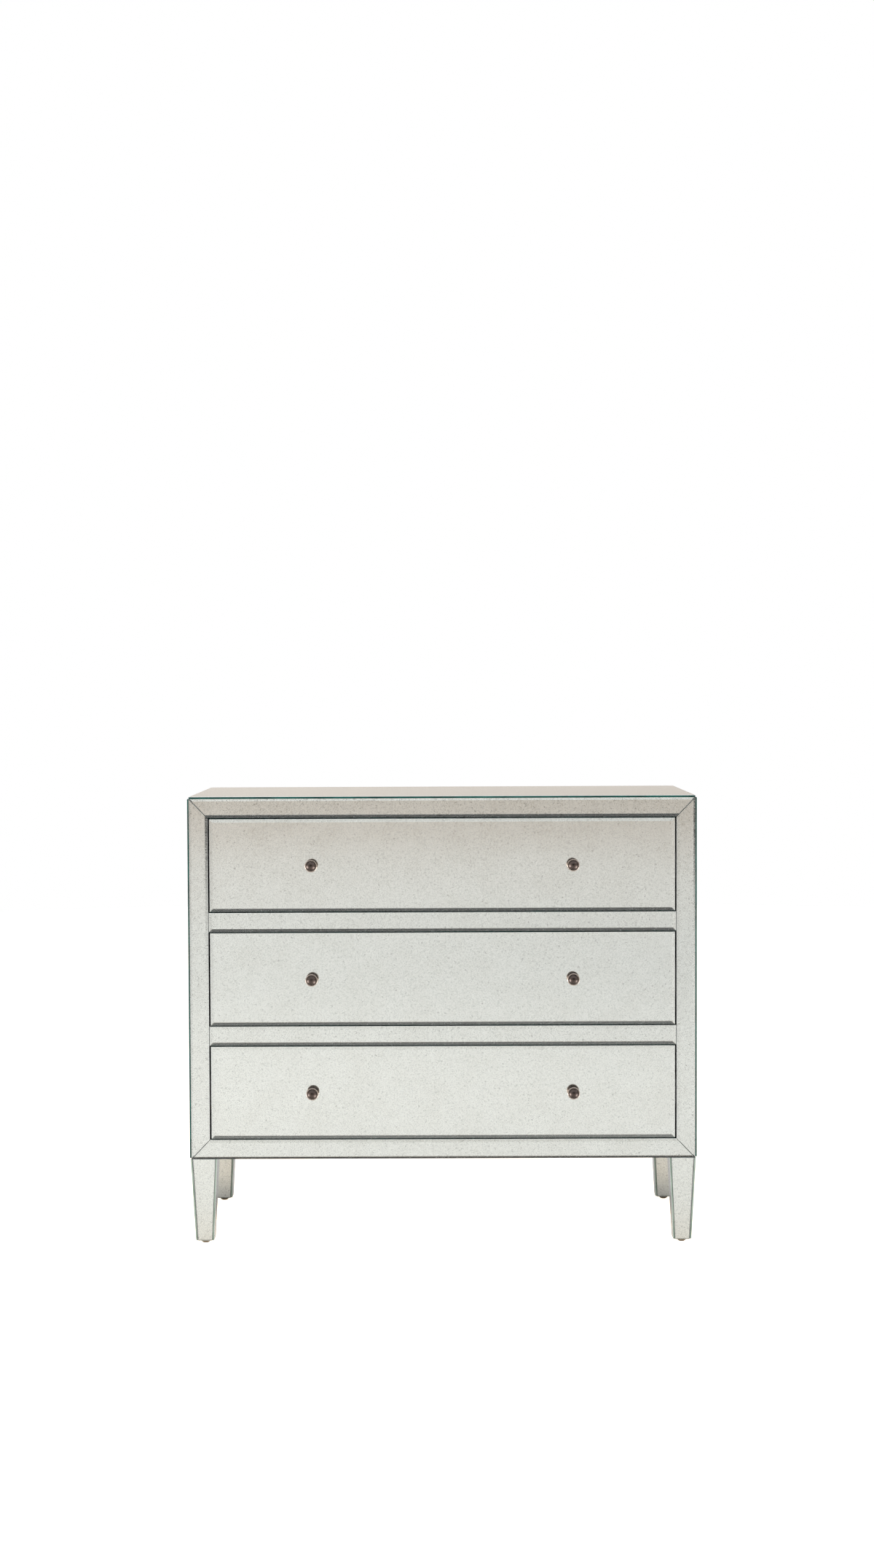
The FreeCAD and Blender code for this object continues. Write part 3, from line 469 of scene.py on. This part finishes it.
def circle(middle, radius, points=28):
    turns = [2 * math.pi * i / points for i in range(points)]
    return [middle + Vector((math.cos(t), math.sin(t))) * radius for t in turns]


# %% [markdown]
# ## The drawer mirrors
# Each drawer front is one sheet, ground and polished to a 6 mm bevel on all four sides, which leaves
# 2.2 mm at the sheet's edge. The bevel works as a prism, so it shows the room some 17 degrees away
# from what the flat face beside it shows: the lower bevels look up into the dark of the room and the
# upper ones down at the bright floor. Its outer corner is seamed with a stone, and that hairline stays
# frosted and pale. On the lower side alone the hairline takes the dark green edge finish instead, as
# painted shade.

# %% Bevelled sheets
BEVEL = 6 * MM
OUTER_BEVEL = 4 * MM         # on the outer edges of the frame's strips
BEVEL_EDGE = 2.2 * MM
HAIRLINE = 0.35 * MM         # the seamed corner, and the arris along a mitre
LEAF_SKIN = 0.12 * MM        # the leaf and its backing paint, drawn thick enough to be a solid
LEAF_SUNK = 0.02 * MM        # so that no air lies between glass and leaf
LEAF_MARGIN = 0.25 * MM      # bare glass at the very edge
CLEAR, LEAF, EDGE, FROST, POLISHED = range(5)
KNOB_HOLE = 2.3 * MM


def add_leaf(bm, place, outline, holes=()):
    """The skin of leaf at the back of a sheet."""
    inner = inset(outline, [LEAF_MARGIN] * len(outline))
    skin = [(inner, 0.0), (inner, LEAF_SKIN)]
    stack(bm, place, skin, [[LEAF] * len(inner)], LEAF, LEAF, holes)


def faces_down(place, start, end):
    """Whether the side of an outline from start to end is a lower one on the standing chest."""
    run = (end - start).normalized()
    return (place(run.y, -run.x, 0.0) - place(0.0, 0.0, 0.0)).z < -0.5


def bevelled_sheet(name, place, outline, thickness, body, nodes, bevels=None, holes=(), silver=leaf):
    """A mirror with a bevel as wide as given on each side. A side of width 0, a mitre, is only seamed."""
    count = len(outline)
    bevels = bevels or [BEVEL] * count
    seam_share = HAIRLINE / BEVEL
    lower = [faces_down(place, a, b) for a, b in zip(outline, outline[1:] + outline[:1])]
    bm = bmesh.new()
    rings = [
        (outline, LEAF_SKIN - LEAF_SUNK),
        (outline, BEVEL_EDGE - HAIRLINE),
        (inset(outline, [width * seam_share for width in bevels]),
         BEVEL_EDGE + (thickness - BEVEL_EDGE) * seam_share),
        (inset(outline, [width or HAIRLINE for width in bevels]), thickness),
    ]
    bands = [
        [EDGE] * count,
        # A lower side's hairline gets the dark green edge finish instead of frost: painted shade.
        [EDGE if down or not width else FROST for down, width in zip(lower, bevels)],
        [POLISHED if width else FROST for width in bevels],
    ]
    stack(bm, place, rings, bands, CLEAR, CLEAR, holes)
    add_leaf(bm, place, outline, holes)
    finishes = [glass, silver, edge_deep, frosted, bevel_glass]
    return make_piece(name, bm, finishes, body, nodes)


DRAWERS = ("bottom", "middle", "top")
knob_places = {}
for drawer in DRAWERS:
    low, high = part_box(f"{drawer}_drawer_mirror")
    knob_low, knob_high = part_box(f"{drawer}_drawer_knobs")
    knob_radius = (knob_high.z - knob_low.z) / 2
    knob_height = (knob_high.z + knob_low.z) / 2
    knob_places[drawer] = [Vector((x, low.y, knob_height))
                           for x in (knob_low.x + knob_radius, knob_high.x - knob_radius)]
    holes = [circle(Vector((spot.x - low.x, spot.z - low.z)), KNOB_HOLE) for spot in knob_places[drawer]]
    place = facing("front", Vector((low.x, high.y, low.z)))
    bevelled_sheet(f"{drawer}_drawer_mirror_sheet", place, rectangle(high.x - low.x, high.z - low.z),
                   high.y - low.y, f"{drawer}_drawer", [f"{drawer}_drawer_mirror"], holes=holes)
print("drawer mirrors:", [round(s / MM, 1) for s in high - low], "mm")

# %% [markdown]
# ## The strips of the front
# Four strips frame the front. Their ends are mitred, so each outline is a long trapezium whose sloped
# ends keep a hairline from the next strip. Only the two long sides are bevelled, the outer one less
# wide. Two shorter strips with square ends cover the rails between the drawers and are bevelled all
# round.

# %% Frame strips and divider strips
JOINT = 0.8 * MM             # hairline between two strips
frame_low, frame_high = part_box("frame_mirror_bottom")
front_face, front_back = frame_low.y, frame_high.y
strip = frame_high.z - frame_low.z
upright_low, upright_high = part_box("frame_mirror_left")
upright_strip = upright_high.x - upright_low.x
left, right = frame_low.x - JOINT / 2, frame_high.x + JOINT / 2
base = frame_low.z
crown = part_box("frame_mirror_top")[1].z
frame_middle = Vector(((left + right) / 2, front_back, (base + crown) / 2))


def turned(angle, half_height):
    """A place function for a strip of the frame: across along it, up from its outer edge to the middle."""
    spin = Matrix.Rotation(math.radians(angle), 3, "Y")
    return lambda u, v, w: frame_middle + spin @ Vector((u, -w, v - half_height))


def mitred(length, width, end_width):
    """A trapezium centred on its length, with ends that slope by the width of the next strip."""
    long_half = length / 2 - JOINT / 2
    short_half = long_half - end_width
    return [Vector((-long_half, 0)), Vector((long_half, 0)), Vector((short_half, width)),
            Vector((-short_half, width))]


frame_width, frame_height = right - left, crown - base
across = (mitred(frame_width, strip, upright_strip), frame_height / 2)
upright = (mitred(frame_height, upright_strip, strip), frame_width / 2)
for side, angle, (outline, half) in (("bottom", 0, across), ("left", 90, upright), ("top", 180, across),
                                     ("right", -90, upright)):
    bevelled_sheet(f"frame_strip_{side}", turned(angle, half), outline, front_back - front_face, "case",
                   [f"frame_mirror_{side}"], bevels=[OUTER_BEVEL, 0.0, BEVEL, 0.0], silver=leaf_worn)

low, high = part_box("divider_mirrors")
for name, bottom_edge in (("lower", low.z), ("upper", high.z - strip)):
    place = facing("front", Vector((low.x, high.y, bottom_edge)))
    bevelled_sheet(f"divider_strip_{name}", place, rectangle(high.x - low.x, strip), high.y - low.y,
                   "case", ["divider_mirrors"], silver=leaf_worn)
print("strips:", round(upright_strip / MM, 1), "and", round(strip / MM, 1), "mm wide")

# %% [markdown]
# ## Sides and top
# These are plain sheets with rounded corners. Their edges aren't bevelled but seamed, which takes off
# the sharp corner with a narrow arris. The side sheets run past the front strips, so their front edges
# show as two thin green uprights, and the top sheet's front edge is a green line right across.

# %% Seamed sheets
SEAM = 0.6 * MM
CORNER = 2.5 * MM


def seamed_sheet(name, place, outline, thickness, body, nodes, edge):
    """A plain mirror with seamed edges."""
    count = len(outline)
    bm = bmesh.new()
    rings = [
        (outline, LEAF_SKIN - LEAF_SUNK),
        (outline, thickness - SEAM),
        (inset(outline, [SEAM] * count), thickness),
    ]
    stack(bm, place, rings, [[EDGE] * count, [FROST] * count], CLEAR, CLEAR)
    add_leaf(bm, place, outline)
    return make_piece(name, bm, [glass, leaf, edge, frosted], body, nodes)


def rounded(outline, radius, corners, steps=5):
    """An outline with some of its square corners replaced by arcs."""
    made = []
    for i, corner in enumerate(outline):
        if i not in corners:
            made.append(corner)
            continue
        before = (outline[i - 1] - corner).normalized()
        after = (outline[(i + 1) % len(outline)] - corner).normalized()
        middle = corner + (before + after) * radius
        for k in range(steps + 1):
            turn = math.pi / 2 * k / steps
            made.append(middle - before * math.sin(turn) * radius - after * math.cos(turn) * radius)
    return made


for side in ("left", "right"):
    low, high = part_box(f"side_mirror_{side}")
    near = Vector((high.x if side == "left" else low.x, high.y if side == "left" else low.y, low.z))
    outline = rounded(rectangle(high.y - low.y, high.z - low.z), CORNER, corners=range(4))
    seamed_sheet(f"side_sheet_{side}", facing(side, near), outline, high.x - low.x, "case",
                 [f"side_mirror_{side}"], edge_deep)

low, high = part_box("top_mirror")
outline = rounded(rectangle(high.x - low.x, high.y - low.y), CORNER, corners=range(4))
seamed_sheet("top_sheet", facing("top", low.copy()), outline, high.z - low.z, "case", ["top_mirror"],
             edge_deep)
print("top sheet:", [round(s / MM, 1) for s in high - low], "mm")

# %% [markdown]
# ## The legs
# A leg is a tapered square of wood with a facet of mirror on each face. The left and right facets run
# the full width of the leg and cover the edges of the other two, so seen from the front each leg shows
# a pale green edge on both sides, with a dark hairline between. Their lower corners are rounded off so
# that they don't chip. The place function leans each facet with the taper.

# %% Leg facets
LEG_GLASS = 3 * MM
LEG_HAIRLINE = 0.8 * MM
FOOT_ROUND = 5 * MM
LEAN = {"front": Vector((0, -1, 0)), "back": Vector((0, 1, 0)),
        "left": Vector((-1, 0, 0)), "right": Vector((1, 0, 0))}


def square_at(node, height):
    """Middle and half width of a leg's square at the foot or the head of its node."""
    places = [v.co for v in frame["nodes"][node].data.vertices if abs(v.co.z - height) < 0.1 * MM]
    xs = [p.x for p in places]
    ys = [p.y for p in places]
    return Vector(((min(xs) + max(xs)) / 2, (min(ys) + max(ys)) / 2, height)), (max(xs) - min(xs)) / 2


for corner in ("front_left", "front_right", "back_left", "back_right"):
    node = f"leg_mirrors_{corner}"
    low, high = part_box(node)
    (foot_middle, foot_half), (_, head_half) = square_at(node, low.z), square_at(node, high.z)
    rise = high.z - low.z
    for facet, outward in LEAN.items():
        across = Vector((0, 0, 1)).cross(outward)

        def place(u, v, w):
            half = foot_half + (head_half - foot_half) * v / rise
            return foot_middle + outward * (half - LEG_GLASS + w) + across * u + Vector((0, 0, v))

        wide = facet in ("left", "right")
        margin = 0.0 if wide else LEG_GLASS + LEG_HAIRLINE
        foot, head = foot_half - margin, head_half - margin
        outline = [Vector((-foot, 0)), Vector((foot, 0)), Vector((head, rise)), Vector((-head, rise))]
        if wide:
            outline = rounded(outline, FOOT_ROUND, corners=(0, 1))
        seamed_sheet(f"leg_{corner}_{facet}_facet", place, outline, LEG_GLASS, "case", [node], edge_pale)
print("legs:", round(2 * head_half / MM), "mm square at the head,", round(2 * foot_half / MM), "at the foot")

# %% [markdown]
# ## Knobs and glides
# Both are turned, so both are a profile swept round an axis. A knob has a foot against the glass, a
# neck, a round-edged rim, and a low dome that rises out of a narrow groove. The patina has rubbed off
# the rim and its flat front. A glide is a domed nail under each leg.

# %% Turned work
TURNS = 72


def arc(middle, radius, first, last, steps):
    """Points of a profile along an arc, angles in degrees."""
    angles = [math.radians(first + (last - first) * k / steps) for k in range(steps + 1)]
    return [(middle[0] + radius * math.cos(a), middle[1] + radius * math.sin(a)) for a in angles]


def turn(bm, profile, place, finish_of):
    """Sweeps a profile of (radius, reach) round its axis. It starts and ends on the axis."""
    rings = []
    for radius, reach in profile:
        if radius < 1e-7:
            rings.append([bm.verts.new(place(0.0, 0.0, reach))])
            continue
        around = [2 * math.pi * i / TURNS for i in range(TURNS)]
        rings.append([bm.verts.new(place(radius * math.cos(t), radius * math.sin(t), reach)) for t in around])
    for k, (low, high) in enumerate(zip(rings, rings[1:])):
        for i in range(TURNS):
            j = (i + 1) % TURNS
            corners = (low[i % len(low)], low[j % len(low)], high[j % len(high)], high[i % len(high)])
            unique = list(dict.fromkeys(corners))
            bm.faces.new(unique).material_index = finish_of(k)


KNOB_REACH = front_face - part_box("top_drawer_knobs")[0].y
KNOB_FOOT, KNOB_FOOT_HIGH, KNOB_NECK = 7 * MM, 2 * MM, 4.6 * MM
RIM, RIM_SEAT, RIM_HIGH, RIM_ROUND = 11 * MM, 13 * MM, 3 * MM, 1.1 * MM
DOME, GROOVE, GROOVE_RADIUS = 9 * MM, 1 * MM, 9.4 * MM


def knob_profile():
    """The knob's outline, and the numbers of its runs that belong to the rim."""
    groove_floor = RIM_SEAT + RIM_HIGH - GROOVE
    dome_rise = KNOB_REACH - groove_floor
    ball = (DOME ** 2 + dome_rise ** 2) / (2 * dome_rise)
    dome_start = math.degrees(math.asin((ball - dome_rise) / ball))
    rim_flat = RIM - RIM_ROUND
    profile = [(0.0, 0.0), (KNOB_FOOT - 0.3 * MM, 0.0), (KNOB_FOOT, 0.3 * MM)]
    profile += arc((KNOB_FOOT - 0.6 * MM, KNOB_FOOT_HIGH - 0.6 * MM), 0.6 * MM, 0, 90, 4)
    neck_top = (RIM_SEAT + KNOB_FOOT_HIGH) / 2
    profile += [(KNOB_NECK + 0.4 * MM, KNOB_FOOT_HIGH), (KNOB_NECK, KNOB_FOOT_HIGH + 0.5 * MM),
                (KNOB_NECK, neck_top)]
    rim_first = len(profile)
    profile += arc((rim_flat, RIM_SEAT + RIM_ROUND), RIM_ROUND, -90, 0, 6)
    profile += arc((rim_flat, RIM_SEAT + RIM_HIGH - RIM_ROUND), RIM_ROUND, 0, 90, 6)
    profile.append((GROOVE_RADIUS, RIM_SEAT + RIM_HIGH))
    rim_last = len(profile)
    profile.append((DOME, groove_floor))
    profile += arc((0.0, KNOB_REACH - ball), ball, dome_start, 90, 14)[1:-1]
    profile.append((0.0, KNOB_REACH))
    return profile, range(rim_first, rim_last - 1)


profile, rim_runs = knob_profile()
for drawer in DRAWERS:
    for name, spot in zip(("left", "right"), knob_places[drawer]):
        bm = bmesh.new()
        turn(bm, profile, facing("front", spot), lambda run: int(run in rim_runs))
        make_piece(f"{drawer}_drawer_knob_{name}", bm, [patina, rubbed_rim], f"{drawer}_drawer",
                   [f"{drawer}_drawer_knobs"], smooth_below=35)
print("knobs:", round(2 * RIM / MM), "mm over the rim, reaching", round(KNOB_REACH / MM, 1), "mm")

# %% Glides
glide_low, glide_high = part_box("glides")
GLIDE = 10 * MM
GLIDE_FLAT = 5 * MM
glide_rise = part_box("leg_front_left")[0].z - glide_low.z
ball_drop = (GLIDE ** 2 - GLIDE_FLAT ** 2 + glide_rise ** 2) / (2 * glide_rise)
ball = math.hypot(GLIDE_FLAT, ball_drop)
first = math.degrees(math.atan2(-ball_drop, GLIDE_FLAT))
last = math.degrees(math.atan2(glide_rise - ball_drop, GLIDE))
glide_profile = [(0.0, 0.0)] + arc((0.0, ball_drop), ball, first, last, 10) + [(0.0, glide_rise)]
for name, middle in (("front_left", (glide_low.x, glide_low.y)),
                     ("front_right", (glide_high.x, glide_low.y)),
                     ("back_left", (glide_low.x, glide_high.y)),
                     ("back_right", (glide_high.x, glide_high.y))):
    inward = [GLIDE if "left" in name else -GLIDE, GLIDE if "front" in name else -GLIDE]
    spot = Vector((middle[0] + inward[0], middle[1] + inward[1], glide_low.z))
    bm = bmesh.new()
    turn(bm, glide_profile, facing("top", spot), lambda run: 0)
    make_piece(f"glide_{name}", bm, [nickel], "case", ["glides"], smooth_below=35)
print("glides: domes", round(2 * GLIDE / MM), "mm across and", round(glide_rise / MM, 1), "mm high")

# %% [markdown]
# ## The boards and the slides
# These solids already have their true shape, so they keep it and only change their finish. The grain
# of each drawer board runs along its length.

# %% Finishes for the solids that stay
kept = {
    "side_panel_left": black_paint, "side_panel_right": black_paint, "top_panel": black_paint,
    "bottom_panel": black_paint, "back_panel": ply, "face_stile_left": black_paint,
    "face_stile_right": black_paint, "face_rail_top": black_paint, "face_rail_bottom": black_paint,
    "face_divider_rails": black_paint, "leg_bolts": zinc, "slide_spacers": birch_lengthwise,
    "slide_cabinet_members": zinc,
}
for corner in ("front_left", "front_right", "back_left", "back_right"):
    kept[f"leg_{corner}"] = black_paint
for drawer in DRAWERS:
    kept.update({
        f"{drawer}_drawer_front_panel": black_paint, f"{drawer}_drawer_box_front": birch_crosswise,
        f"{drawer}_drawer_sides": birch_lengthwise, f"{drawer}_drawer_back": birch_crosswise,
        f"{drawer}_drawer_bottom": ply, f"{drawer}_drawer_knob_screws": zinc,
        f"{drawer}_slide_drawer_members": zinc, f"{drawer}_slide_middle_members": zinc,
    })
for node, finish in kept.items():
    for material_slot in frame["nodes"][node].material_slots:
        material_slot.material = finish
print("solids kept:", len(kept))

# %% [markdown]
# ## Floor and light
# A mirror looks like what stands around it, so the studio matters as much as the finishes. The chest
# stands on a pale floor whose glow is painted light, as no lamp is in it. The glow is stronger on the
# left than on the right, weaker far in front, and cut under the back of the chest as a painted shadow,
# warmer there; far in front it is brighter seen at a grazing angle than seen steeply, a painted sheen.
# The shade under the chest, painted and cast, shows in the back legs and the inner sides of the front
# ones, while to the camera the floor is lifted further, which leaves hardly any shadow in sight. Beyond
# the floor the room turns a warm grey, a little lighter above eye level, which is what the top sheet
# picks up. Behind the viewer it is dark above eye level, but not at the sides: the lower bevels pick
# that up. A narrow dark screen stands there on the left, for the upright bevels. High up everything is
# one wide diffused light. The background that a camera sees directly is white.

# %% Floor
FLOOR_RADIUS = 6.5
GLOW_LEFT, GLOW_RIGHT = 0.655, 0.485
# Under the back of the chest the floor's glow drops to this share: a painted shadow.
PAINTED_SHADOW_SHARE = 0.2            # what is left of the glow under the back of the chest
CAMERA_LIFT = 1.2
bm = bmesh.new()
bmesh.ops.create_circle(bm, cap_ends=True, segments=128, radius=FLOOR_RADIUS)
floor_mesh = bpy.data.meshes.new("floor")
bm.to_mesh(floor_mesh)
bm.free()
floor = bpy.data.objects.new("floor", floor_mesh)
bpy.context.scene.collection.objects.link(floor)
material, tree, places = new_finish("floor_painted_glow")
split = add(tree, "ShaderNodeSeparateXYZ", {"Vector": places}).outputs


def floor_step(value, low, high, result_low, result_high):
    return add(tree, "ShaderNodeMapRange", {"Value": value, "From Min": low, "From Max": high,
                                            "To Min": result_low, "To Max": result_high},
               interpolation_type="SMOOTHSTEP").outputs["Result"]


def floor_product(a, b):
    return add(tree, "ShaderNodeMath", {0: a, 1: b}, operation="MULTIPLY").outputs[0]


# The floor's glow is painted light: brighter on the left than on the right, and cut under the back of the
# chest as a painted shadow.
glow = floor_product(floor_step(split["X"], -1.5, 1.5, GLOW_LEFT, GLOW_RIGHT),
                     floor_step(split["Y"], 0.2, -0.05, PAINTED_SHADOW_SHARE, 1.0))
# Far in front the glow is weaker, but brighter seen at a grazing angle than seen steeply: a painted sheen.
grazing = add(tree, "ShaderNodeLayerWeight", {"Blend": 0.5}).outputs["Facing"]
distance_fall_and_painted_sheen = add(tree, "ShaderNodeMix", {0: floor_step(grazing, 0.68, 0.82, 0.0, 1.0),
                                   2: floor_step(split["Y"], -2.4, -0.9, 0.69, 1.08),
                                   3: floor_step(split["Y"], -4.5, -1.5, 0.76, 1.0)}).outputs[0]
glow = floor_product(glow, distance_fall_and_painted_sheen)
# Under the chest the glow turns warm: a painted warm shadow.
painted_warm_shadow_tint = add(tree, "ShaderNodeMixRGB", {"Fac": floor_step(split["Y"], 0.0, -0.5, 0.0, 1.0),
                                      "Color1": linear("fff0dc"), "Color2": linear("fffaf2")})
# To the camera the floor glows further, up to white, so the painted shadow hardly shows there.
seen = add(tree, "ShaderNodeLightPath").outputs["Is Camera Ray"]
lifted = add(tree, "ShaderNodeMath", {0: seen, 1: CAMERA_LIFT, 2: glow}, operation="MULTIPLY_ADD")
surface(tree, Base_Color=linear("b0b0b0"), Roughness=0.9, Specular_IOR_Level=0.2,
        Emission_Color=painted_warm_shadow_tint.outputs["Color"], Emission_Strength=lifted.outputs[0])
floor_mesh.materials.append(material)
print("floor:", FLOOR_RADIUS, "m out from the chest")

# %% Studio room
world = bpy.data.worlds.new("studio")
bpy.context.scene.world = world
world.use_nodes = True
tree = world.node_tree
tree.nodes.clear()
direction = add(tree, "ShaderNodeTexCoord").outputs["Generated"]
split = add(tree, "ShaderNodeSeparateXYZ", {"Vector": direction})
aside, depth, height = (split.outputs[axis] for axis in "XYZ")


def between(value, low, high, result_low=0.0, result_high=1.0):
    """A smooth step of a value between two levels."""
    return add(tree, "ShaderNodeMapRange", {"Value": value, "From Min": low, "From Max": high,
                                            "To Min": result_low, "To Max": result_high},
               interpolation_type="SMOOTHSTEP").outputs["Result"]


def mixed(share, below, above):
    return add(tree, "ShaderNodeMixRGB", {"Fac": share, "Color1": below, "Color2": above}).outputs["Color"]


def joint_share(*shares):
    """The product of several shares."""
    product = shares[0]
    for other in shares[1:]:
        product = add(tree, "ShaderNodeMath", {0: product, 1: other}, operation="MULTIPLY").outputs[0]
    return product


# Linear red, green, blue and alpha of each zone of the room, from the floor's end upwards.
FLOOR_END = [0.98, 0.962, 0.945, 1.0]
WARM_WALL = [0.82, 0.745, 0.695, 1.0]
HORIZON = [0.64, 0.57, 0.5, 1.0]
HIGH_WALL = [0.8, 0.74, 0.675, 1.0]
SKY = [1.5, 1.55, 1.62, 1.0]
DUSK = [0.27, 0.28, 0.275, 1.0]
DARK = [0.02, 0.021, 0.022, 1.0]
room = mixed(between(height, -0.074, -0.061), FLOOR_END, WARM_WALL)
room = mixed(between(height, -0.063, -0.021), room, HORIZON)
room = mixed(between(height, -0.015, 0.03), room, HIGH_WALL)
room = add(tree, "ShaderNodeMixRGB", {"Fac": 1.0, "Color1": room,
                                      "Color2": between(aside, -0.12, 0.12, 1.04, 0.95)},
           blend_type="MULTIPLY").outputs["Color"]
room = mixed(between(height, 0.3, 0.5), room, SKY)
behind_viewer = between(depth, -0.55, -0.3, 1.0, 0.0)
gloom = mixed(between(height, 0.05, 0.27), DUSK, DARK)
gloom_zone = joint_share(behind_viewer, between(height, 0.02, 0.07), between(height, 0.6, 0.75, 1.0, 0.0),
                         between(aside, -0.6, -0.42), between(aside, 0.42, 0.6, 1.0, 0.0))
room = mixed(gloom_zone, room, gloom)
screen = joint_share(behind_viewer, between(height, -0.083, -0.078), between(height, 0.1, 0.2, 1.0, 0.0),
                     between(aside, -0.48, -0.46), between(aside, -0.33, -0.31, 1.0, 0.0))
room = mixed(screen, room, DARK)
seen = add(tree, "ShaderNodeLightPath").outputs["Is Camera Ray"]
room = mixed(seen, room, [1.0, 1.0, 1.0, 1.0])
light = add(tree, "ShaderNodeBackground", {"Color": room, "Strength": 1.0})
add(tree, "ShaderNodeOutputWorld", {"Surface": light.outputs[0]})
bpy.context.scene.view_settings.view_transform = "Standard"
print("studio: sky", SKY[0], "over a warm room")

# %% [markdown]
# ## Two lamps for the knobs
# A dark domed knob needs a highlight on each side to look round. Two soft lamps, low on the left and
# on the right, shine on the knobs alone, so that the mirrors don't show them.

# %% Knob lamps
LAMP_SOFTNESS = math.radians(24)
knobs = bpy.data.collections.new("knobs")
for piece in bpy.data.objects:
    if "_drawer_knob_" in piece.name:
        knobs.objects.link(piece)
for name, shines_along, strength in (("left", Vector((0.96, -0.03, 0.28)), 5.0),
                                     ("right", Vector((-0.84, 0.11, 0.54)), 4.0)):
    lamp_data = bpy.data.lights.new(f"knob_lamp_{name}", "SUN")
    lamp_data.energy = strength
    lamp_data.angle = LAMP_SOFTNESS
    lamp = bpy.data.objects.new(f"knob_lamp_{name}", lamp_data)
    lamp.rotation_euler = shines_along.to_track_quat("-Z", "Y").to_euler()
    bpy.context.scene.collection.objects.link(lamp)
    lamp.light_linking.receiver_collection = knobs
    lamp.light_linking.blocker_collection = knobs

# %% [markdown]
# ## Camera
# A product picture is taken from well back with a long lens, a little above the chest, so that the top
# shows as a thin plane and the uprights stay upright.

# %% Camera
CAMERA_PLACE = Vector((9.4, -4360.0, 1000.1)) * MM
YAW, PITCH, ROLL = (math.radians(a) for a in (-0.246, -2.317, -0.24))
LENS, SENSOR = 53.53, 36.0   # millimetres
camera_data = bpy.data.cameras.new("camera")
camera_data.lens = LENS
camera_data.sensor_width = SENSOR
camera = bpy.data.objects.new("camera", camera_data)
bpy.context.scene.collection.objects.link(camera)
aim = Matrix.Rotation(-YAW, 3, "Z") @ Matrix.Rotation(math.pi / 2 + PITCH, 3, "X")
aim = aim @ Matrix.Rotation(ROLL, 3, "Z")
camera.matrix_world = Matrix.Translation(CAMERA_PLACE) @ aim.to_4x4()
bpy.context.scene.camera = camera
print("camera:", round(-CAMERA_PLACE.y, 2), "m in front, lens", camera_data.lens, "mm")
